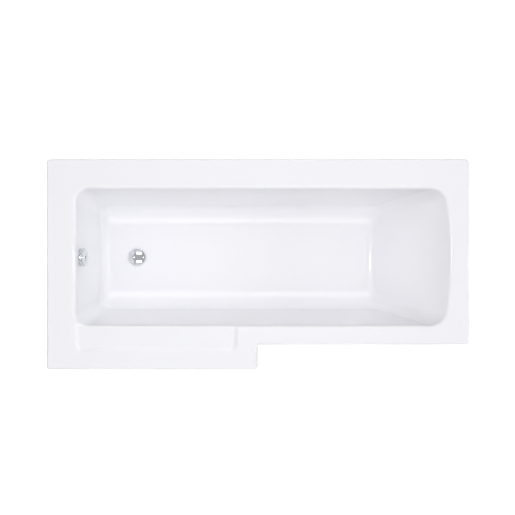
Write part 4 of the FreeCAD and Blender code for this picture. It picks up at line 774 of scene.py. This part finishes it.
class BATH_OT_mould_shell(Operator):
    """Mould the acrylic shell with its basin, shelf, rim and lip"""

    bl_idname = "bath.mould_shell"
    bl_label = "Mould the shell"

    def execute(self, context):
        sizes = context.scene.bath_moulding
        mesh = moulding_mesh(sizes)
        mesh.polygons.foreach_set("use_smooth", [True] * len(mesh.polygons))
        finish = vacuum_formed_acrylic(context.scene.bath_colours)
        shell = new_piece(context.scene, mesh, finish, "bath_shell", "bath")

        # the sheet is thinner under the waste's sunk ring, so that its underside stays flat
        sheet = shell.vertex_groups.new(name="sheet")
        for vert in mesh.vertices:
            sunk = max(shell_low.z + sizes.acrylic - vert.co.z, 0)
            sheet.add([vert.index], 1 - sunk / sizes.acrylic, "REPLACE")
        wall = shell.modifiers.new("Sheet", "SOLIDIFY")
        wall.thickness = sizes.acrylic
        wall.vertex_group = sheet.name
        wall.offset = -1
        wall.use_even_offset = True
        wall.use_quality_normals = True
        soften(shell, MOULDING_SHARP)
        return {"FINISHED"}


class BATH_OT_laminate_backing(Operator):
    """Give the reinforced underside its glass fibre"""

    bl_idname = "bath.laminate_backing"
    bl_label = "Laminate the backing"

    def execute(self, context):
        dress(chopped_glass_fibre(context.scene.bath_colours), ["glass_fibre_backing"])
        return {"FINISHED"}


class BATH_OT_cut_timber(Operator):
    """Give the baseboard and the battens their wood"""

    bl_idname = "bath.cut_timber"
    bl_label = "Cut the timber"

    def execute(self, context):
        colours = context.scene.bath_colours
        dress(raw_chipboard(colours), ["baseboard"])
        long_battens = ["rim_batten_back", "rim_batten_front", "rim_batten_shower_front"]
        dress(sawn_softwood(colours, "X"), long_battens)
        dress(sawn_softwood(colours, "Y"), ["rim_batten_head", "rim_batten_foot"])
        return {"FINISHED"}


class BATH_OT_bend_steel(Operator):
    """Give the cradle, the brackets and the fasteners their zinc, and cut the studs' threads"""

    bl_idname = "bath.bend_steel"
    bl_label = "Bend the steel"

    def execute(self, context):
        colours = context.scene.bath_colours
        sheet = ["cradle_rail_foot", "cradle_rail_head", "centre_foot_bracket", "wall_brackets"]
        dress(galvanised_steel(colours), sheet)
        zinc = bright_zinc(colours)
        dress(zinc, ["cradle_screws", "rail_nuts", "wall_bracket_screws", "overflow_screws"])
        for pad in foot_pads:
            name = pad.replace("pad", "stud")
            mesh = stud_mesh(name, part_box(pad)[1].z)
            body = pad.replace("pad_", "")
            soften(new_piece(context.scene, mesh, zinc, name, body), PIECE_SHARP)
        return {"FINISHED"}


class BATH_OT_mould_feet(Operator):
    """Give the feet's pads and the guide tube's clips their black plastic"""

    bl_idname = "bath.mould_feet"
    bl_label = "Mould the feet and clips"

    def execute(self, context):
        colours = context.scene.bath_colours
        grain = 0.6 * MILLIMETRE
        shades = (colours.black_moulding, colours.black_cloud)
        black = moulded_plastic("black_polypropylene", shades, roughness=0.45, grain=grain, depth=grain / 4)
        dress(black, foot_pads + ["guide_clips"])
        return {"FINISHED"}


class BATH_OT_plate_chrome(Operator):
    """Give the plug, the waste's flange, the rosette and the knob their chrome"""

    bl_idname = "bath.plate_chrome"
    bl_label = "Plate the chrome"

    def execute(self, context):
        colours = context.scene.bath_colours
        dress(chrome_plate(colours), ["plug_cap", "waste_flange", "overflow_rosette", "control_knob"])
        return {"FINISHED"}


class BATH_OT_turn_brass(Operator):
    """Give the plug's stem, its lever and the knob's spindle their brass"""

    bl_idname = "bath.turn_brass"
    bl_label = "Turn the brass"

    def execute(self, context):
        dress(turned_brass(context.scene.bath_colours), ["plug_stem", "lift_lever", "knob_spindle"])
        return {"FINISHED"}


class BATH_OT_fit_waste(Operator):
    """Give the waste's and the overflow's fittings their plastic and rubber"""

    bl_idname = "bath.fit_waste"
    bl_label = "Fit the waste and overflow"

    def execute(self, context):
        colours = context.scene.bath_colours
        grain = 0.8 * MILLIMETRE
        shades = (colours.white_moulding, colours.white_cloud)
        fittings = [
            "waste_body",
            "lever_cover",
            "lever_crank",
            "overflow_body",
            "crank_cover",
            "knob_crank",
            "overflow_pipe",
            "pipe_nut_overflow",
            "pipe_nut_waste",
        ]
        white = moulded_plastic("white_polypropylene", shades, roughness=0.38, grain=grain, depth=grain / 8)
        dress(white, fittings)
        seals = ["waste_top_seal", "waste_bottom_seal", "plug_seal", "overflow_gasket", "pipe_seals"]
        dress(moulded_rubber(colours), seals)
        shades = (colours.grey_tube, colours.grey_cloud)
        grey = moulded_plastic("grey_polypropylene", shades, roughness=0.5, grain=grain, depth=grain / 8)
        dress(grey, ["guide_tube"])
        return {"FINISHED"}


# Studio


# The camera looks straight down and sees this width at the rim's height.
CAMERA_PLACE = (-0.0016, 0.0273, 4.54)
CAMERA_SPAN = 2.065

# Place, size, power and whether mirrors show it: one lamp overhead, a large one over each side, one over
# each end, a low one far past the head end, and two narrow strips that draw thin bright lines on the bends.
SOFTBOXES = [
    ((0.0, 0.0, 5.2), (1.6, 1.2), 51, False),
    ((0.0, 2.4, 3.6), (2.6, 2.4), 46, True),
    ((0.0, -2.4, 3.6), (2.6, 2.4), 46, True),
    ((-2.6, 0.0, 3.6), (1.6, 2.4), 22, False),
    ((2.6, 0.0, 3.6), (1.6, 2.4), 15, False),
    ((6.5, 0.0, 2.4), (1.2, 3.0), 95, False),
    ((-2.4, 0.0, 4.4), (0.12, 0.6), 5.5, True),
    ((2.4, 0.0, 4.4), (0.12, 0.6), 5, True),
]

# The world's light on matt surfaces. Mirrors see white walls up to one height and a greyer ceiling from
# another, each the upward part of a direction's unit length.
WORLD_LIGHT = 0.08
CEILING_LIGHT = 0.5
WALL_TOP = 0.25
CEILING_START = 0.6

# The paper's size, its own glow for the camera near the bath, the distances over which that grows to white,
# and the share of it that mirrors see.
PAPER_RADIUS = 14
PAPER_STEPS = 96
PAPER_GLOW = 0.72
GLOW_START = 1.5
GLOW_END = 5
MIRRORED_GLOW = 0.35


def studio_paper(colours):
    # Seamless white paper: lit from above, with enough glow of its own for the camera to burn out to white,
    # more so far from the lamps. In mirrors it glows less, so that the shadow under the bath shows there.
    material, tree, place = start_finish("studio_paper")
    path = add(tree, "ShaderNodeLightPath")
    share = {"operation": "MULTIPLY", 1: MIRRORED_GLOW}
    seen = add(tree, "ShaderNodeMath", share, {0: path["Is Glossy Ray"]})["Value"]
    for ray in ("Is Camera Ray", "Is Transmission Ray"):
        seen = add(tree, "ShaderNodeMath", {"operation": "MAXIMUM"}, {0: seen, 1: path[ray]})["Value"]
    far = add(tree, "ShaderNodeVectorMath", {"operation": "LENGTH"}, place)["Value"]
    growth = {"From Min": GLOW_START, "From Max": GLOW_END, "To Min": PAPER_GLOW, "To Max": 1}
    burnt = add(tree, "ShaderNodeMapRange", growth, {"Value": far})["Result"]
    glow = add(tree, "ShaderNodeMath", {"operation": "MULTIPLY"}, {0: seen, 1: burnt})["Value"]
    paper = add(tree, "ShaderNodeBsdfDiffuse", {"Color": linear(colours.paper)})["BSDF"]
    burn = add(tree, "ShaderNodeEmission", sources={"Strength": glow})["Emission"]
    both = add(tree, "ShaderNodeAddShader", sources={0: paper, 1: burn})["Shader"]
    add(tree, "ShaderNodeOutputMaterial", sources={"Surface": both})
    return material


def paper_floor(scene):
    """A wide round floor of studio paper."""
    bm = bmesh.new()
    bmesh.ops.create_circle(bm, cap_ends=True, radius=PAPER_RADIUS, segments=PAPER_STEPS)
    mesh = bpy.data.meshes.new("paper_floor")
    bm.to_mesh(mesh)
    bm.free()
    mesh.materials.append(studio_paper(scene.bath_colours))
    floor = bpy.data.objects.new("paper_floor", mesh)
    scene.collection.objects.link(floor)


def softboxes(scene):
    """Area lamps that all point at the middle of the rim."""
    for i, (place, size, power, mirrored) in enumerate(SOFTBOXES):
        lamp = bpy.data.lights.new(f"softbox_{i}", "AREA")
        lamp.shape = "RECTANGLE"
        lamp.size, lamp.size_y = size
        lamp.energy = power
        box = bpy.data.objects.new(f"softbox_{i}", lamp)
        box.location = place
        box.visible_glossy = mirrored
        aim = Vector((0, 0, shell_high.z)) - Vector(place)
        box.rotation_euler = aim.to_track_quat("-Z", "Y").to_euler()
        scene.collection.objects.link(box)


def studio_world(scene):
    """A faint light on matt surfaces, white for the camera, and walls and a greyer ceiling in mirrors."""
    scene.world = bpy.data.worlds.new("studio")
    tree = empty_tree(scene.world)
    path = add(tree, "ShaderNodeLightPath")
    way = add(tree, "ShaderNodeTexCoord")["Generated"]
    up = add(tree, "ShaderNodeSeparateXYZ", sources={"Vector": way})["Z"]
    room = {"From Min": WALL_TOP, "From Max": CEILING_START, "To Min": 1, "To Max": CEILING_LIGHT}
    mirrored = add(tree, "ShaderNodeMapRange", room, {"Value": up})["Result"]
    sources = {"Factor": path["Is Glossy Ray"], "B": mirrored}
    light = add(tree, "ShaderNodeMix", {"A": WORLD_LIGHT}, sources)["Result"]
    for ray in ("Is Camera Ray", "Is Transmission Ray"):
        light = add(tree, "ShaderNodeMath", {"operation": "MAXIMUM"}, {0: light, 1: path[ray]})["Value"]
    backdrop = add(tree, "ShaderNodeBackground", {"Color": (1, 1, 1, 1)}, {"Strength": light})["Background"]
    add(tree, "ShaderNodeOutputWorld", sources={"Surface": backdrop})


def overhead_camera(scene):
    """A camera that looks straight down on the bath."""
    lens = bpy.data.cameras.new("overhead")
    lens.sensor_fit = "HORIZONTAL"
    lens.angle = 2 * math.atan(CAMERA_SPAN / 2 / (CAMERA_PLACE[2] - shell_high.z))
    camera = bpy.data.objects.new("overhead", lens)
    camera.location = CAMERA_PLACE
    scene.collection.objects.link(camera)
    scene.camera = camera


class BATH_OT_set_studio(Operator):
    """Set the floor, the soft lights, the world and the camera"""

    bl_idname = "bath.set_studio"
    bl_label = "Set the studio"

    def execute(self, context):
        context.scene.view_settings.view_transform = "Standard"
        for part in (paper_floor, softboxes, studio_world, overhead_camera):
            part(context.scene)
        return {"FINISHED"}


STEPS = (
    BATH_OT_set_studio,
    BATH_OT_mould_shell,
    BATH_OT_laminate_backing,
    BATH_OT_cut_timber,
    BATH_OT_bend_steel,
    BATH_OT_mould_feet,
    BATH_OT_plate_chrome,
    BATH_OT_turn_brass,
    BATH_OT_fit_waste,
)


class BATH_PT_sidebar(Panel):
    """Steps and settings of the shower bath"""

    bl_label = "Shower bath"
    bl_space_type = "VIEW_3D"
    bl_region_type = "UI"
    bl_category = "Shower bath"

    def draw(self, context):
        for step in STEPS:
            self.layout.operator(step.bl_idname)
        for group in (context.scene.bath_moulding, context.scene.bath_colours):
            box = self.layout.box()
            for name in group.__annotations__:
                box.prop(group, name)


CLASSES = (MouldingSizes, FinishColours, *STEPS, BATH_PT_sidebar)


def register():
    for cls in CLASSES:
        bpy.utils.register_class(cls)
    bpy.types.Scene.bath_moulding = PointerProperty(type=MouldingSizes)
    bpy.types.Scene.bath_colours = PointerProperty(type=FinishColours)


def unregister():
    del bpy.types.Scene.bath_colours
    del bpy.types.Scene.bath_moulding
    for cls in reversed(CLASSES):
        bpy.utils.unregister_class(cls)


def main():
    register()
    bpy.ops.bath.set_studio()
    bpy.ops.bath.mould_shell()
    bpy.ops.bath.laminate_backing()
    bpy.ops.bath.cut_timber()
    bpy.ops.bath.bend_steel()
    bpy.ops.bath.mould_feet()
    bpy.ops.bath.plate_chrome()
    bpy.ops.bath.turn_brass()
    bpy.ops.bath.fit_waste()


if __name__ == "__main__":
    main()
